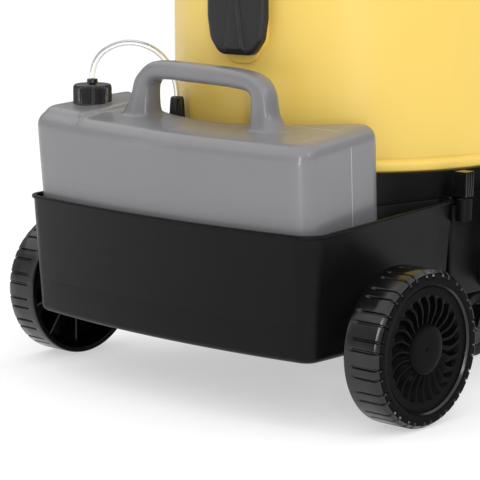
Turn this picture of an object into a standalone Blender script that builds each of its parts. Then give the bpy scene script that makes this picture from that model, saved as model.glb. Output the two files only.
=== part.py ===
"""Carpet cleaner machine: wheeled wet pick-up drum with a detergent tank in a rear basket.

Frame: metres, +Z up, the machine's front faces -Y and its rear basket +Y.
The origin is on the floor, under the middle of the machine's outline.
"""
import math

import bmesh
import bpy
from mathutils import Matrix, Vector

# ---------------------------------------------------------------- driving dimensions
GAP = 0.0003                 # clearance left between touching pieces
RUNNING = 0.0005             # radial clearance of a part that turns or slides

# running gear
WHEEL_RADIUS = 0.095
WHEEL_WIDTH = 0.052
WHEEL_SPAN = 0.644           # outer face to outer face of the two rear wheels
WHEEL_RIM_WALL = 0.007
WHEEL_WEB = 0.005
WHEEL_SLOTS = 12             # slots through the face between hub and rim
HUB_RADIUS = 0.031
AXLE_RADIUS = 0.008
CASTER_WHEEL_RADIUS = 0.045
CASTER_WHEEL_WIDTH = 0.026
CASTER_TRAIL = 0.032
CASTER_SPREAD = 0.250        # between the two caster swivel axes
CASTER_REACH = 0.145         # swivel axes ahead of the drum axis

# drum and round base
DRUM_RADIUS = 0.2316
DRUM_WALL = 0.004
DRUM_TOP = 0.588
DRUM_LIP_OUT = 0.004         # how far the drum's lower lip stands out
DRUM_TURN = math.radians(6.0)    # the drum stands turned on its base
BASE_BOTTOM = 0.124
BASE_TOP = 0.2825
BASE_RADIUS = 0.240
BASE_WALL = 0.005
AXLE_TO_DRUM = 0.2316        # rear axle to the drum's axis
POD_HALF_WIDTH = 0.2412
POD_TOP = 0.252

# rear basket
BASKET_REACH = 0.143         # rear axle to the basket's rear face
BASKET_HALF_WIDTH = 0.2455
BASKET_BOTTOM = 0.081
BASKET_TOP = 0.235
BASKET_WALL = 0.0035
BASKET_BOW = 0.019           # how much the rear face bows out
BASKET_CORNER = 0.030
BASKET_DRAFT = 0.0085        # how much the bottom draws in below the rim
BASKET_BEAD = 0.0025
BASKET_RISE = 0.014          # how much the wings' rim climbs towards the front
BASKET_STEP = 0.030          # the deep well ends this far behind the axle
BASKET_FRONT = 0.139         # the side wings end this far ahead of the axle

# detergent tank
TANK_CLEARANCE = 0.012       # tank to basket
TANK_TOP = 0.342
TANK_WALL = 0.0028
TANK_FALL = 0.024            # slope of the tank's top across the machine
TANK_RISE = 0.090            # and its slope up towards the drum
TANK_SHIFT = 0.0045          # the tank sits off centre, towards its cap
TANK_FLARE = 0.006           # the cap end leans out this much above the basket
TANK_EDGE = 0.016            # rounding of its top and bottom edges
TANK_CORNER = 0.028
TANK_FRONT_CORNER = 0.022
TANK_END_REACH = 0.050       # how far its ends reach ahead of the axle
TANK_DRUM_GAP = 0.0225       # space between its hollow face and the drum
SEAM_BACK = 0.052            # cap and handle stand this far behind the axle
CAP_X = 0.195
CAP_RADIUS = 0.0253
CAP_HEIGHT = 0.027
COLLAR_RADIUS = 0.0072       # hose collar standing on the cap
COLLAR_HEIGHT = 0.0065
COLLAR_STEM = 0.0042
COLLAR_BORE = 0.0024
NECK_RADIUS = 0.0220
NECK_TOP = 0.370
HANDLE_GRIP_TOP = 0.4135
HANDLE_DEPTH = 0.034
HANDLE_SQUARENESS = 3.2      # 2 would give round sections

# clear suction hose
HOSE_RADIUS = 0.004
CONNECTOR_POS = (0.102, 0.010)     # across, and ahead of the axle
STUB_RADIUS = 0.0034
HOSE_ROUTE = (               # across, back from the axle, and height
    (0.1950, 0.0520, 0.3820), (0.1942, 0.0520, 0.3920), (0.1900, 0.0500, 0.4055), (0.1790, 0.0470, 0.4180),
    (0.1610, 0.0420, 0.4275), (0.1430, 0.0360, 0.4310), (0.1270, 0.0270, 0.4290), (0.1150, 0.0160, 0.4215),
    (0.1080, 0.0060, 0.4100), (0.1040, -0.0020, 0.3960), (0.1024, -0.0075, 0.3800), (0.1020, -0.0098, 0.3680),
    (0.1020, -0.0100, 0.3620),
)

# head
HEAD_RING_TOP = 0.642
HEAD_RADIUS = 0.238
HEAD_COVER_TOP = 0.742
HANDLE_TOP = 0.790

# motor, filter and switches inside the head
MOTOR_RADIUS = 0.052
FAN_HOUSING_RADIUS = 0.078
FAN_RADIUS = 0.070
CAGE_RADIUS = 0.080
CAGE_DEPTH = 0.105
FLOAT_RADIUS = 0.034
SWITCH_PITCH = 0.045
ROCKER_TILT = math.radians(8.0)

# latches
LATCH_WIDTH = 0.088
LATCH_THICK = 0.013
LATCH_BOTTOM = 0.424
LATCH_PIN_Z = 0.606          # the latch hangs from ears on the head's ring
LATCH_PIN_RADIUS = 0.0025
LATCH_PIN_OUT = 0.013        # from the drum wall to the pin
LATCH_HEAD = 0.0065          # how far the latch reaches above its pin
LATCH_OFFSET = 0.0075        # from the drum wall to the latch's back
LATCH_SPINE = 0.004          # the raised spine down its middle
LATCH_SPINE_HALF = 0.013

# suction hose inlet, high on the drum
INLET_HEIGHT = 0.520
INLET_TURN = math.radians(-75.0)
INLET_BORE = 0.0190

# pump and the spray line's quick coupling
PUMP_POS = (0.090, 0.080)    # across, and behind the drum's axis
PUMP_MOTOR_RADIUS = 0.026
COUPLING_ANGLE = math.radians(50.0)
COUPLING_Z = 0.200

# drain outlet, its upright hose and cap
DRAIN_BACK = 0.010           # outlet behind the drum's axis
DRAIN_Z = 0.150
DRAIN_HOSE_RADIUS = 0.0150
DRAIN_STAND = 0.0225         # from the pod's side to the hose's centre line
DRAIN_ROUTE = (              # forward, and up from the outlet
    (0.0000, 0.022), (0.0000, 0.034), (0.0010, 0.048), (0.0024, 0.064), (0.0036, 0.080), (0.0040, 0.096),
)

# the basket's sleeve on each side, and the post under the collar that it slides on to
PIN_X = 0.2525
PIN_AHEAD = 0.1545           # ahead of the axle
SLEEVE_RADIUS = 0.0105
SLEEVE_LOW = 0.222
SLEEVE_HIGH = 0.2505

# ---------------------------------------------------------------- derived places
LATCH_REACH = DRUM_RADIUS + LATCH_OFFSET + LATCH_THICK + LATCH_SPINE
FRONT_REACH = AXLE_TO_DRUM + LATCH_REACH * math.cos(DRUM_TURN) + LATCH_SPINE_HALF * math.sin(DRUM_TURN)
REAR_REACH = BASKET_REACH + BASKET_BEAD
AXLE_Y = (FRONT_REACH - REAR_REACH) / 2.0
DRUM_Y = AXLE_Y - AXLE_TO_DRUM
AXLE_Z = WHEEL_RADIUS
WHEEL_X = (WHEEL_SPAN - WHEEL_WIDTH) / 2.0
SEAM_Y = AXLE_Y + SEAM_BACK
PIN_Y = AXLE_Y - PIN_AHEAD
DRAIN_Y = DRUM_Y + DRAIN_BACK
HEAD_LOW = DRUM_TOP + 0.003 + 2.0 * GAP      # the gasket lies between drum and head
ROUND = 36                   # sides of the large turned pieces
DRUM_ROUND = 44
SMALL_ROUND = 16             # sides of the small turned pieces


# ---------------------------------------------------------------- scene and materials
def clear_scene():
    for old in list(bpy.data.objects):
        bpy.data.objects.remove(old, do_unlink=True)


def material(name, colour, roughness, metallic=0.0, alpha=1.0):
    made = bpy.data.materials.new(name)
    made.use_nodes = True
    shader = made.node_tree.nodes["Principled BSDF"]
    shader.inputs["Base Color"].default_value = (*colour, 1.0)
    shader.inputs["Roughness"].default_value = roughness
    shader.inputs["Metallic"].default_value = metallic
    shader.inputs["Alpha"].default_value = alpha
    return made


FINISHES = {
    "yellow": ((0.86, 0.62, 0.12), 0.38, 0.0),
    "black": ((0.018, 0.018, 0.020), 0.45, 0.0),
    "satin_black": ((0.022, 0.022, 0.024), 0.60, 0.0),
    "grey": ((0.25, 0.25, 0.265), 0.35, 0.0),
    "rubber": ((0.015, 0.015, 0.015), 0.80, 0.0),
    "steel": ((0.60, 0.60, 0.62), 0.30, 1.0),
    "white": ((0.80, 0.80, 0.78), 0.45, 0.0),
    "brass": ((0.70, 0.52, 0.22), 0.35, 1.0),
    "red": ((0.62, 0.05, 0.04), 0.40, 0.0),
    "clear": ((0.85, 0.87, 0.88), 0.15, 0.0),
}


# ---------------------------------------------------------------- mesh helpers
def finish_object(name, bm, finish, guide=False):
    """Close a bmesh into a named object with its own material."""
    bmesh.ops.recalc_face_normals(bm, faces=bm.faces)
    mesh = bpy.data.meshes.new(name)
    bm.to_mesh(mesh)
    bm.free()
    mesh.shade_smooth()
    mesh.set_sharp_from_angle(angle=math.radians(35.0))
    obj = bpy.data.objects.new(name, mesh)
    bpy.context.collection.objects.link(obj)
    if guide:
        obj.hide_render = True
        obj.display_type = "WIRE"
    else:
        obj.data.materials.append(material(name, *FINISHES[finish]))
    return obj


def combine(target, tool, operation):
    modifier = target.modifiers.new(operation.lower() + "_" + tool.name, "BOOLEAN")
    modifier.operation = operation
    modifier.solver = "EXACT"
    modifier.object = tool
    tool.hide_render = True
    tool.display_type = "WIRE"


def cut(target, *tools):
    for tool in tools:
        combine(target, tool, "DIFFERENCE")


def add(target, *tools):
    for tool in tools:
        combine(target, tool, "UNION")


def turned(name, profile, finish, sides=SMALL_ROUND, closed=True, place=None, guide=False):
    """Turn a profile of (radius, height) about Z; closed joins its last point to its first."""
    bm = bmesh.new()
    verts = [bm.verts.new((r, 0.0, h)) for r, h in profile]
    edges = [bm.edges.new(pair) for pair in zip(verts, verts[1:])]
    if closed:
        edges.append(bm.edges.new((verts[-1], verts[0])))
    bmesh.ops.spin(bm, geom=verts + edges, cent=(0, 0, 0), axis=(0, 0, 1),
                   angle=2.0 * math.pi, steps=sides, use_merge=True)
    bmesh.ops.remove_doubles(bm, verts=bm.verts, dist=0.000005)
    if place is not None:
        bmesh.ops.transform(bm, matrix=place, verts=bm.verts)
    return finish_object(name, bm, finish, guide)


def rod(name, radius, low, high, finish, sides=SMALL_ROUND, place=None, guide=False, chamfer=0.0):
    if chamfer > 0.0:
        profile = [(0, low), (radius - chamfer, low), (radius, low + chamfer),
                   (radius, high - chamfer), (radius - chamfer, high), (0, high)]
    else:
        profile = [(0, low), (radius, low), (radius, high), (0, high)]
    return turned(name, profile, finish, sides, False, place, guide)


def pipe(name, outer, inner, low, high, finish, sides=SMALL_ROUND, place=None, guide=False):
    profile = [(inner, low), (outer, low), (outer, high), (inner, high)]
    return turned(name, profile, finish, sides, True, place, guide)


def block(name, low, high, finish, bevel=0.0, steps=2, place=None, guide=False):
    bm = bmesh.new()
    bmesh.ops.create_cube(bm, size=1.0)
    low, high = Vector(low), Vector(high)
    size = high - low
    scale = Matrix.Diagonal((size.x, size.y, size.z, 1.0))
    bmesh.ops.transform(bm, matrix=Matrix.Translation((low + high) / 2.0) @ scale, verts=bm.verts)
    if bevel > 0.0:
        bmesh.ops.bevel(bm, geom=bm.edges, offset=bevel, segments=steps, affect="EDGES", profile=0.5)
    if place is not None:
        bmesh.ops.transform(bm, matrix=place, verts=bm.verts)
    return finish_object(name, bm, finish, guide)


def loft(name, rings, finish, place=None, guide=False):
    """Skin a list of equal-length point rings and cap both ends."""
    bm = bmesh.new()
    made = [[bm.verts.new(point) for point in ring] for ring in rings]
    for lower, upper in zip(made, made[1:]):
        count = len(lower)
        for i in range(count):
            bm.faces.new((lower[i], lower[(i + 1) % count], upper[(i + 1) % count], upper[i]))
    bm.faces.new(list(reversed(made[0])))
    bm.faces.new(made[-1])
    if place is not None:
        bmesh.ops.transform(bm, matrix=place, verts=bm.verts)
    return finish_object(name, bm, finish, guide)


def prism(name, outline, low, high, finish, place=None, guide=False):
    rings = [[(x, y, z) for x, y in outline] for z in (low, high)]
    return loft(name, rings, finish, place, guide)


def filleted(corners, steps=4):
    """Round a closed outline's corners; each corner is (x, y, radius)."""
    points = []
    count = len(corners)
    for i, (x, y, radius) in enumerate(corners):
        here = Vector((x, y))
        if radius <= 0.0:
            points.append((x, y))
            continue
        before = (Vector(corners[i - 1][:2]) - here).normalized()
        after = (Vector(corners[(i + 1) % count][:2]) - here).normalized()
        half = before.angle(after) / 2.0
        reach = radius / math.tan(half)
        centre = here + (before + after).normalized() * (radius / math.sin(half))
        start = here + before * reach - centre
        turn = start.angle_signed(here + after * reach - centre)
        for k in range(steps + 1):
            angle = -turn * k / steps
            spun = Matrix.Rotation(angle, 2) @ start
            points.append(tuple(centre + spun))
    return points


def moved(x, y, z):
    return Matrix.Translation((x, y, z))


ALONG_X = Matrix.Rotation(math.radians(90.0), 4, "Y")
ALONG_Y = Matrix.Rotation(math.radians(-90.0), 4, "X")


# ---------------------------------------------------------------- rear wheels and axle
def make_axle():
    reach = WHEEL_SPAN / 2.0 - 0.010
    rod("rear_axle", AXLE_RADIUS, -reach, reach, "steel", 20, moved(0, AXLE_Y, AXLE_Z) @ ALONG_X)


def wheel_profile():
    """Half section of a wheel about its axle; height 0 is the inner face, outboard is up."""
    bore = AXLE_RADIUS + RUNNING
    tread_in = WHEEL_RADIUS - WHEEL_RIM_WALL
    face = WHEEL_WIDTH - 0.006
    return [
        (bore, 0.004),
        (0.016, 0.004),
        (0.018, face - WHEEL_WEB),
        (tread_in - 0.006, face - WHEEL_WEB),
        (tread_in, face - WHEEL_WEB - 0.006),
        (tread_in, 0.0),
        (WHEEL_RADIUS - 0.004, 0.0),
        (WHEEL_RADIUS, 0.004),
        (WHEEL_RADIUS, WHEEL_WIDTH - 0.005),
        (WHEEL_RADIUS - 0.005, WHEEL_WIDTH),
        (0.076, WHEEL_WIDTH - 0.0015),
        (0.072, face),
        (HUB_RADIUS + 0.001, face),
        (HUB_RADIUS, WHEEL_WIDTH - 0.0025),
        (0.014, WHEEL_WIDTH - 0.0025),
        (0.014, WHEEL_WIDTH - 0.012),
        (bore, WHEEL_WIDTH - 0.012),
    ]


def make_wheels():
    for side, sign in (("left", 1.0), ("right", -1.0)):
        inner = sign * (WHEEL_SPAN / 2.0 - WHEEL_WIDTH)
        turn = ALONG_X if sign > 0 else Matrix.Rotation(math.radians(-90.0), 4, "Y")
        place = moved(inner, AXLE_Y, AXLE_Z) @ turn
        wheel = turned("rear_wheel_" + side, wheel_profile(), "black", ROUND, True, place)
        slots = bmesh.new()
        low, high = 0.022, WHEEL_WIDTH + 0.002
        size = Matrix.Diagonal((0.020, 0.007, high - low, 1.0))
        for k in range(WHEEL_SLOTS):
            angle = 2.0 * math.pi * k / WHEEL_SLOTS
            spot = Matrix.Rotation(angle, 4, "Z") @ moved(0.053, 0, (low + high) / 2.0)
            bmesh.ops.create_cube(slots, size=1.0, matrix=place @ spot @ size)
        cut(wheel, finish_object("wheel_slots_" + side, slots, "black", True))
        cap = [(0, WHEEL_WIDTH - 0.0098), (0.0136, WHEEL_WIDTH - 0.0098), (0.0136, WHEEL_WIDTH - 0.002),
               (0.011, WHEEL_WIDTH), (0.002, WHEEL_WIDTH), (0, WHEEL_WIDTH - 0.001)]
        turned("hub_cap_" + side, cap, "black", SMALL_ROUND, False, place)


def make_axle_brackets():
    """A cheek under each side of the basket carries the axle."""
    for side, sign in (("left", 1.0), ("right", -1.0)):
        x = sign * 0.190
        bracket = block("axle_bracket_" + side, (x - 0.010, AXLE_Y - 0.022, AXLE_Z - 0.016),
                        (x + 0.010, AXLE_Y + 0.022, BASE_BOTTOM - GAP), "black", 0.003, 1)
        bore = rod("axle_bore_" + side, AXLE_RADIUS + GAP, -0.02, 0.02, "black", 20,
                   moved(x, AXLE_Y, AXLE_Z) @ ALONG_X, True)
        cut(bracket, bore)


# ---------------------------------------------------------------- front casters
def make_casters():
    plate_top = BASE_BOTTOM - GAP
    for side, sign in (("left", 1.0), ("right", -1.0)):
        x = sign * CASTER_SPREAD / 2.0
        y = DRUM_Y - CASTER_REACH
        swivel = moved(x, y, 0)
        plate = block("caster_plate_" + side, (-0.024, -0.024, plate_top - 0.004),
                      (0.024, 0.024, plate_top), "steel", 0.0, 1, swivel)
        pin = rod("caster_pin_" + side, 0.005, plate_top - 0.022, plate_top - 0.002, "steel", 16, swivel, True)
        add(plate, pin)
        wheel_y = y + CASTER_TRAIL
        bridge_low = 2.0 * CASTER_WHEEL_RADIUS + 0.004
        bridge_high = plate_top - 0.006
        half = CASTER_WHEEL_WIDTH / 2.0
        fork = turned("caster_fork_" + side,
                      [(0.005 + RUNNING, bridge_low), (0.018, bridge_low), (0.021, bridge_low + 0.004),
                       (0.021, bridge_high), (0.005 + RUNNING, bridge_high)],
                      "black", SMALL_ROUND, True, swivel)
        for edge in (-1.0, 1.0):
            inner = edge * (half + 0.002)
            outer = edge * (half + 0.0055)
            outline = [(-0.016, bridge_low + 0.012), (0.014, bridge_low + 0.012),
                       (CASTER_TRAIL + 0.010, CASTER_WHEEL_RADIUS - 0.002),
                       (CASTER_TRAIL - 0.010, CASTER_WHEEL_RADIUS - 0.009)]
            rings = [[(x + across, y + py, pz) for py, pz in outline] for across in (inner, outer)]
            cheek = loft("caster_cheek_" + side + ("_a" if edge < 0 else "_b"), rings, "black", None, True)
            add(fork, cheek)
        axle_place = moved(x, wheel_y, CASTER_WHEEL_RADIUS) @ ALONG_X
        hole = rod("caster_hole_" + side, 0.003 + GAP, -0.03, 0.03, "steel", 16, axle_place, True)
        cut(fork, hole)
        rod("caster_axle_" + side, 0.003, -half - 0.008, half + 0.008, "steel", 16, axle_place)
        tyre = [(0.003 + RUNNING, -half), (CASTER_WHEEL_RADIUS - 0.004, -half),
                (CASTER_WHEEL_RADIUS, -half + 0.005), (CASTER_WHEEL_RADIUS, half - 0.005),
                (CASTER_WHEEL_RADIUS - 0.004, half), (0.003 + RUNNING, half)]
        turned("caster_wheel_" + side, tyre, "rubber", 24, True, axle_place)


# ---------------------------------------------------------------- round base
def make_base():
    """Round tray with a collar for the drum and a flat pod on each side."""
    centre = moved(0, DRUM_Y, 0)
    base = turned("base_frame", [(0, BASE_BOTTOM), (BASE_RADIUS - 0.006, BASE_BOTTOM),
                                 (BASE_RADIUS, BASE_BOTTOM + 0.006), (BASE_RADIUS, BASE_TOP - 0.002),
                                 (BASE_RADIUS - 0.002, BASE_TOP), (0, BASE_TOP)],
                  "satin_black", ROUND, False, centre)
    pod_back = AXLE_Y - BASKET_FRONT - BASKET_BEAD - 0.001
    pod_front = DRUM_Y - (pod_back - DRUM_Y)
    pods = filleted([(POD_HALF_WIDTH, pod_front, 0.03), (POD_HALF_WIDTH, pod_back, 0.0),
                     (-POD_HALF_WIDTH, pod_back, 0.0), (-POD_HALF_WIDTH, pod_front, 0.03)])
    pod = prism("pod_form", pods, BASE_BOTTOM, POD_TOP, "black", None, True)
    add(base, pod)
    inner = BASE_RADIUS - BASE_WALL
    hollow = rod("base_hollow", inner, BASE_BOTTOM + BASE_WALL, BASE_TOP + 0.01, "black", ROUND, centre, True)
    cut(base, hollow)


def make_basket_pins():
    """A ribbed post under the collar on each side, which the basket's sleeve slides on to."""
    top = BASE_TOP + 0.001
    foot_half = 0.0085
    sections = ((0.208, 0.0042), (SLEEVE_HIGH + 0.001, 0.0050), (SLEEVE_HIGH + 0.0015, foot_half),
                (top, 0.0095))
    corners = ((-1.0, -1.0), (1.0, -1.0), (1.0, 1.0), (-1.0, 1.0))
    for side, sign in (("left", 1.0), ("right", -1.0)):
        x = sign * PIN_X
        rings = [[(x + px * half, PIN_Y + py * half, z) for px, py in corners] for z, half in sections]
        post = loft("basket_pin_" + side, rings, "black")
        reach = math.sqrt((BASE_RADIUS + RUNNING) ** 2 - (PIN_Y - foot_half - DRUM_Y) ** 2)
        low_x, high_x = sorted((x, sign * reach))
        foot = block("pin_foot_" + side, (low_x, PIN_Y - foot_half, POD_TOP + GAP),
                     (high_x, PIN_Y + foot_half, POD_TOP + 0.012), "black", 0.0, 1, None, True)
        add(post, foot)


# ---------------------------------------------------------------- rear basket
def bowed_rear(half, rear, share, spans):
    """Corners along the bowed rear face, between its two rounded corners."""
    corners = []
    for i in range(1, spans):
        across = half * share * (1.0 - 2.0 * i / spans)
        corners.append((across, rear - BASKET_BOW * (across / half) ** 2, 0.0))
    return corners


def basket_outline(inset):
    """Plan of the basket wall, drawn in by inset all round, with a front hollowed for the base."""
    half = BASKET_HALF_WIDTH - inset
    rear = AXLE_Y + BASKET_REACH - inset
    front = AXLE_Y - BASKET_FRONT + inset
    corner = max(BASKET_CORNER - inset, 0.006)
    corners = [(half, front, 0.0), (half, rear - BASKET_BOW, corner)]
    corners += bowed_rear(half, rear, 0.86, 10)
    corners += [(-half, rear - BASKET_BOW, corner), (-half, front, 0.0)]
    rise = front - DRUM_Y
    radius = BASE_RADIUS + BASKET_BEAD + 0.001 + inset
    start = math.atan2(rise, -math.sqrt(radius ** 2 - rise ** 2))
    end = math.pi - start
    steps = 16
    for i in range(steps + 1):
        angle = start + (end - start) * i / steps
        corners.append((radius * math.cos(angle), DRUM_Y + radius * math.sin(angle), 0.0))
    return filleted(corners, 5)


def well_outline(inset):
    """Plan of the deep well at the back of the basket."""
    half = BASKET_HALF_WIDTH - inset
    rear = AXLE_Y + BASKET_REACH - inset
    front = AXLE_Y + BASKET_STEP + inset
    corner = max(BASKET_CORNER - inset, 0.006)
    corners = [(half, front, 0.004), (half, rear - BASKET_BOW, corner)]
    corners += bowed_rear(half, rear, 0.86, 10)
    corners += [(-half, rear - BASKET_BOW, corner), (-half, front, 0.004)]
    return filleted(corners, 5)


def climb(y):
    """How far the basket's rim has climbed at this distance along the machine."""
    return BASKET_RISE * min(max((AXLE_Y + BASKET_STEP - y) / (BASKET_STEP + BASKET_FRONT), 0.0), 1.0)


def basket_layer(outline, inset, z, rim=False):
    """One ring of the basket, drawn in by its draft; a rim ring also climbs forward."""
    draw = BASKET_DRAFT * (BASKET_TOP - z) / (BASKET_TOP - BASKET_BOTTOM)
    return [(x, y, z + (climb(y) if rim else 0.0)) for x, y in outline(inset + draw)]


def make_basket():
    wing_floor = BASE_BOTTOM + GAP
    bead_low = BASKET_TOP - 0.0035
    wall = BASKET_WALL
    basket = loft("rear_basket", [basket_layer(basket_outline, 0.0, wing_floor),
                                  basket_layer(basket_outline, 0.0, bead_low, True)], "satin_black")
    rim = loft("basket_rim", [basket_layer(basket_outline, -BASKET_BEAD, bead_low - 0.001, True),
                              basket_layer(basket_outline, -BASKET_BEAD, BASKET_TOP, True)],
               "black", None, True)
    well = loft("basket_well", [basket_layer(well_outline, GAP, BASKET_BOTTOM),
                                basket_layer(well_outline, GAP, wing_floor + 0.0015)], "black", None, True)
    add(basket, rim, well)
    hollow = loft("basket_hollow", [basket_layer(basket_outline, wall, wing_floor + wall),
                                    basket_layer(basket_outline, wall, BASKET_TOP + 0.01, True)],
                  "black", None, True)
    deep = loft("well_hollow", [basket_layer(well_outline, wall + GAP, BASKET_BOTTOM + wall),
                                basket_layer(well_outline, wall + GAP, wing_floor + wall + 0.001)],
                "black", None, True)
    cut(basket, hollow, deep)
    for side, sign in (("left", 1.0), ("right", -1.0)):
        make_sleeve(basket, side, sign)


def make_sleeve(basket, side, sign):
    """Square-bored sleeve ahead of the basket's side wall, on a short arm."""
    x = sign * PIN_X
    low_x, high_x = sorted((sign * (PIN_X - 0.0100), sign * (PIN_X - 0.003)))
    arm = block("sleeve_arm_" + side, (low_x, PIN_Y + 0.007, SLEEVE_LOW + 0.0015),
                (high_x, AXLE_Y - BASKET_FRONT + 0.003, SLEEVE_HIGH - 0.008), "black", 0.0, 1, None, True)
    sleeve = rod("sleeve_form_" + side, SLEEVE_RADIUS, SLEEVE_LOW, SLEEVE_HIGH, "black", 24,
                 moved(x, PIN_Y, 0), True)
    half = 0.0058
    bore = block("sleeve_bore_" + side, (x - half, PIN_Y - half, SLEEVE_LOW - 0.032),
                 (x + half, PIN_Y + half, SLEEVE_HIGH + 0.0095), "black", 0.0, 1, None, True)
    add(basket, arm, sleeve)
    cut(basket, bore)


# ---------------------------------------------------------------- detergent tank
def tank_outline(inset):
    """Plan of the tank: bowed rear face, straight ends and a front hollowed for the drum."""
    half = BASKET_HALF_WIDTH - BASKET_WALL - TANK_CLEARANCE + 0.003 - inset
    rear = AXLE_Y + BASKET_REACH - TANK_CLEARANCE - inset
    hollow = DRUM_RADIUS + DRUM_LIP_OUT + TANK_DRUM_GAP + inset
    front = AXLE_Y - TANK_END_REACH + inset
    end_half = half - 0.016
    rear_corner = max(TANK_CORNER - inset, 0.004)
    front_corner = max(TANK_FRONT_CORNER - inset, 0.004)
    corners = [(end_half, front, front_corner), (half, rear - BASKET_BOW, rear_corner)]
    corners += bowed_rear(half, rear, 0.84, 8)
    corners += [(-half, rear - BASKET_BOW, rear_corner), (-end_half, front, front_corner)]
    reach = math.sqrt(hollow ** 2 - (front - DRUM_Y) ** 2)
    start = math.atan2(front - DRUM_Y, -min(reach, end_half * 0.93))
    end = math.pi - start
    steps = 12
    for i in range(1, steps):
        angle = start + (end - start) * i / steps
        corners.append((hollow * math.cos(angle), DRUM_Y + hollow * math.sin(angle), 0.0))
    return [(x + TANK_SHIFT, y) for x, y in filleted(corners, 3)]


def sump_outline(inset):
    """Plan of the tank's lower part, which sits in the basket's deep well."""
    half = BASKET_HALF_WIDTH - BASKET_WALL - TANK_CLEARANCE - TANK_SHIFT - 0.004 - inset
    rear = AXLE_Y + BASKET_REACH - TANK_CLEARANCE - 0.006 - inset
    front = AXLE_Y + BASKET_STEP + BASKET_WALL + BASKET_DRAFT + 0.003 + inset
    corners = [(half, front, 0.008), (half, rear - BASKET_BOW, 0.022)]
    corners += bowed_rear(half, rear, 0.84, 6)
    corners += [(-half, rear - BASKET_BOW, 0.022), (-half, front, 0.008)]
    return [(x + TANK_SHIFT, y) for x, y in filleted(corners, 2)]


def tank_layers(outline, low, high, inset, edge, tilt):
    """Rounded-edge stack of rings; tilt 1 gives its top the tank's slopes and leaning end."""
    rings = []
    flare = TANK_FLARE * tilt
    for k in range(3):
        angle = math.pi / 2.0 * k / 2.0
        draw = edge * (1.0 - math.sin(angle))
        z = low + edge * (1.0 - math.cos(angle))
        rings.append([(x, y, z) for x, y in outline(inset + draw)])
    for k in range(3):
        angle = math.pi / 2.0 * (1.0 - k / 2.0)
        draw = edge * (1.0 - math.sin(angle))
        z = high - edge * (1.0 - math.cos(angle))
        ring = []
        for x, y in outline(inset + draw):
            slope = tilt * (TANK_FALL * x + TANK_RISE * (SEAM_Y - y))
            ring.append((x + (flare if x > 0.15 else 0.0), y, z + slope))
        rings.append(ring)
    return rings


def handle_rings():
    """Rounded sections along the handle's arch; a station is (x, z, tilt, thickness, depth)."""
    grip = HANDLE_GRIP_TOP - 0.012
    stations = [
        (-0.123, TANK_TOP - 0.014, 90.0, 0.066, 0.056),
        (-0.119, TANK_TOP + 0.003, 93.0, 0.054, 0.046),
        (-0.114, TANK_TOP + 0.022, 95.0, 0.042, 0.038),
        (-0.111, TANK_TOP + 0.038, 84.0, 0.033, HANDLE_DEPTH),
        (-0.104, grip - 0.011, 55.0, 0.027, HANDLE_DEPTH),
        (-0.088, grip - 0.004, 18.0, 0.025, HANDLE_DEPTH),
        (-0.030, grip, 2.0, 0.024, HANDLE_DEPTH),
        (0.050, grip + 0.0015, 0.0, 0.024, HANDLE_DEPTH),
        (0.076, grip - 0.001, -14.0, 0.025, HANDLE_DEPTH),
        (0.090, grip - 0.011, -52.0, 0.028, HANDLE_DEPTH),
        (0.095, TANK_TOP + 0.041, -80.0, 0.036, HANDLE_DEPTH),
        (0.099, TANK_TOP + 0.024, -86.0, 0.044, 0.040),
        (0.104, TANK_TOP + 0.007, -90.0, 0.058, 0.048),
        (0.107, TANK_TOP - 0.012, -90.0, 0.072, 0.058),
    ]
    rings = []
    for x, z, tilt, thickness, depth in stations:
        angle = math.radians(tilt)
        normal = Vector((-math.sin(angle), 0.0, math.cos(angle)))
        ring = []
        for k in range(12):
            turn = 2.0 * math.pi * k / 12.0
            square = abs(math.cos(turn)) ** HANDLE_SQUARENESS + abs(math.sin(turn)) ** HANDLE_SQUARENESS
            swell = 0.5 / square ** (1.0 / HANDLE_SQUARENESS)
            point = Vector((x, SEAM_Y, z)) + normal * (thickness * swell * math.cos(turn))
            point.y += depth * swell * math.sin(turn)
            ring.append(tuple(point))
        rings.append(ring)
    return rings


def make_tank():
    floor = BASE_BOTTOM + BASKET_WALL + 0.006
    sump_floor = BASKET_BOTTOM + BASKET_WALL + GAP
    tank = loft("detergent_tank", tank_layers(tank_outline, floor, TANK_TOP, 0.0, TANK_EDGE, 1.0), "grey")
    sump = loft("tank_sump", tank_layers(sump_outline, sump_floor, floor + 0.040, 0.0, 0.008, 0.0),
                "grey", None, True)
    handle = loft("tank_handle", handle_rings(), "grey", None, True)
    shoulder = TANK_TOP + TANK_FALL * CAP_X
    neck_place = moved(CAP_X, SEAM_Y, 0)
    neck_profile = [(0, shoulder - 0.030), (0.036, shoulder - 0.030), (0.034, shoulder - 0.008),
                    (0.0255, shoulder + 0.0015), (NECK_RADIUS, shoulder + 0.002), (NECK_RADIUS, NECK_TOP),
                    (0, NECK_TOP)]
    neck = turned("tank_neck", neck_profile, "grey", SMALL_ROUND, False, neck_place, True)
    add(tank, sump, handle, neck)
    hollow = loft("tank_hollow", tank_layers(tank_outline, floor + TANK_WALL, TANK_TOP - TANK_WALL,
                                             TANK_WALL, TANK_EDGE - TANK_WALL, 1.0), "grey", None, True)
    sump_hollow = loft("sump_hollow", tank_layers(sump_outline, sump_floor + TANK_WALL, floor + 0.030,
                                                  TANK_WALL, 0.006, 0.0), "grey", None, True)
    mouth = rod("tank_mouth", NECK_RADIUS - TANK_WALL, shoulder - 0.040, NECK_TOP + 0.01, "grey",
                SMALL_ROUND, neck_place, True)
    cut(tank, hollow, sump_hollow, mouth)


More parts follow.
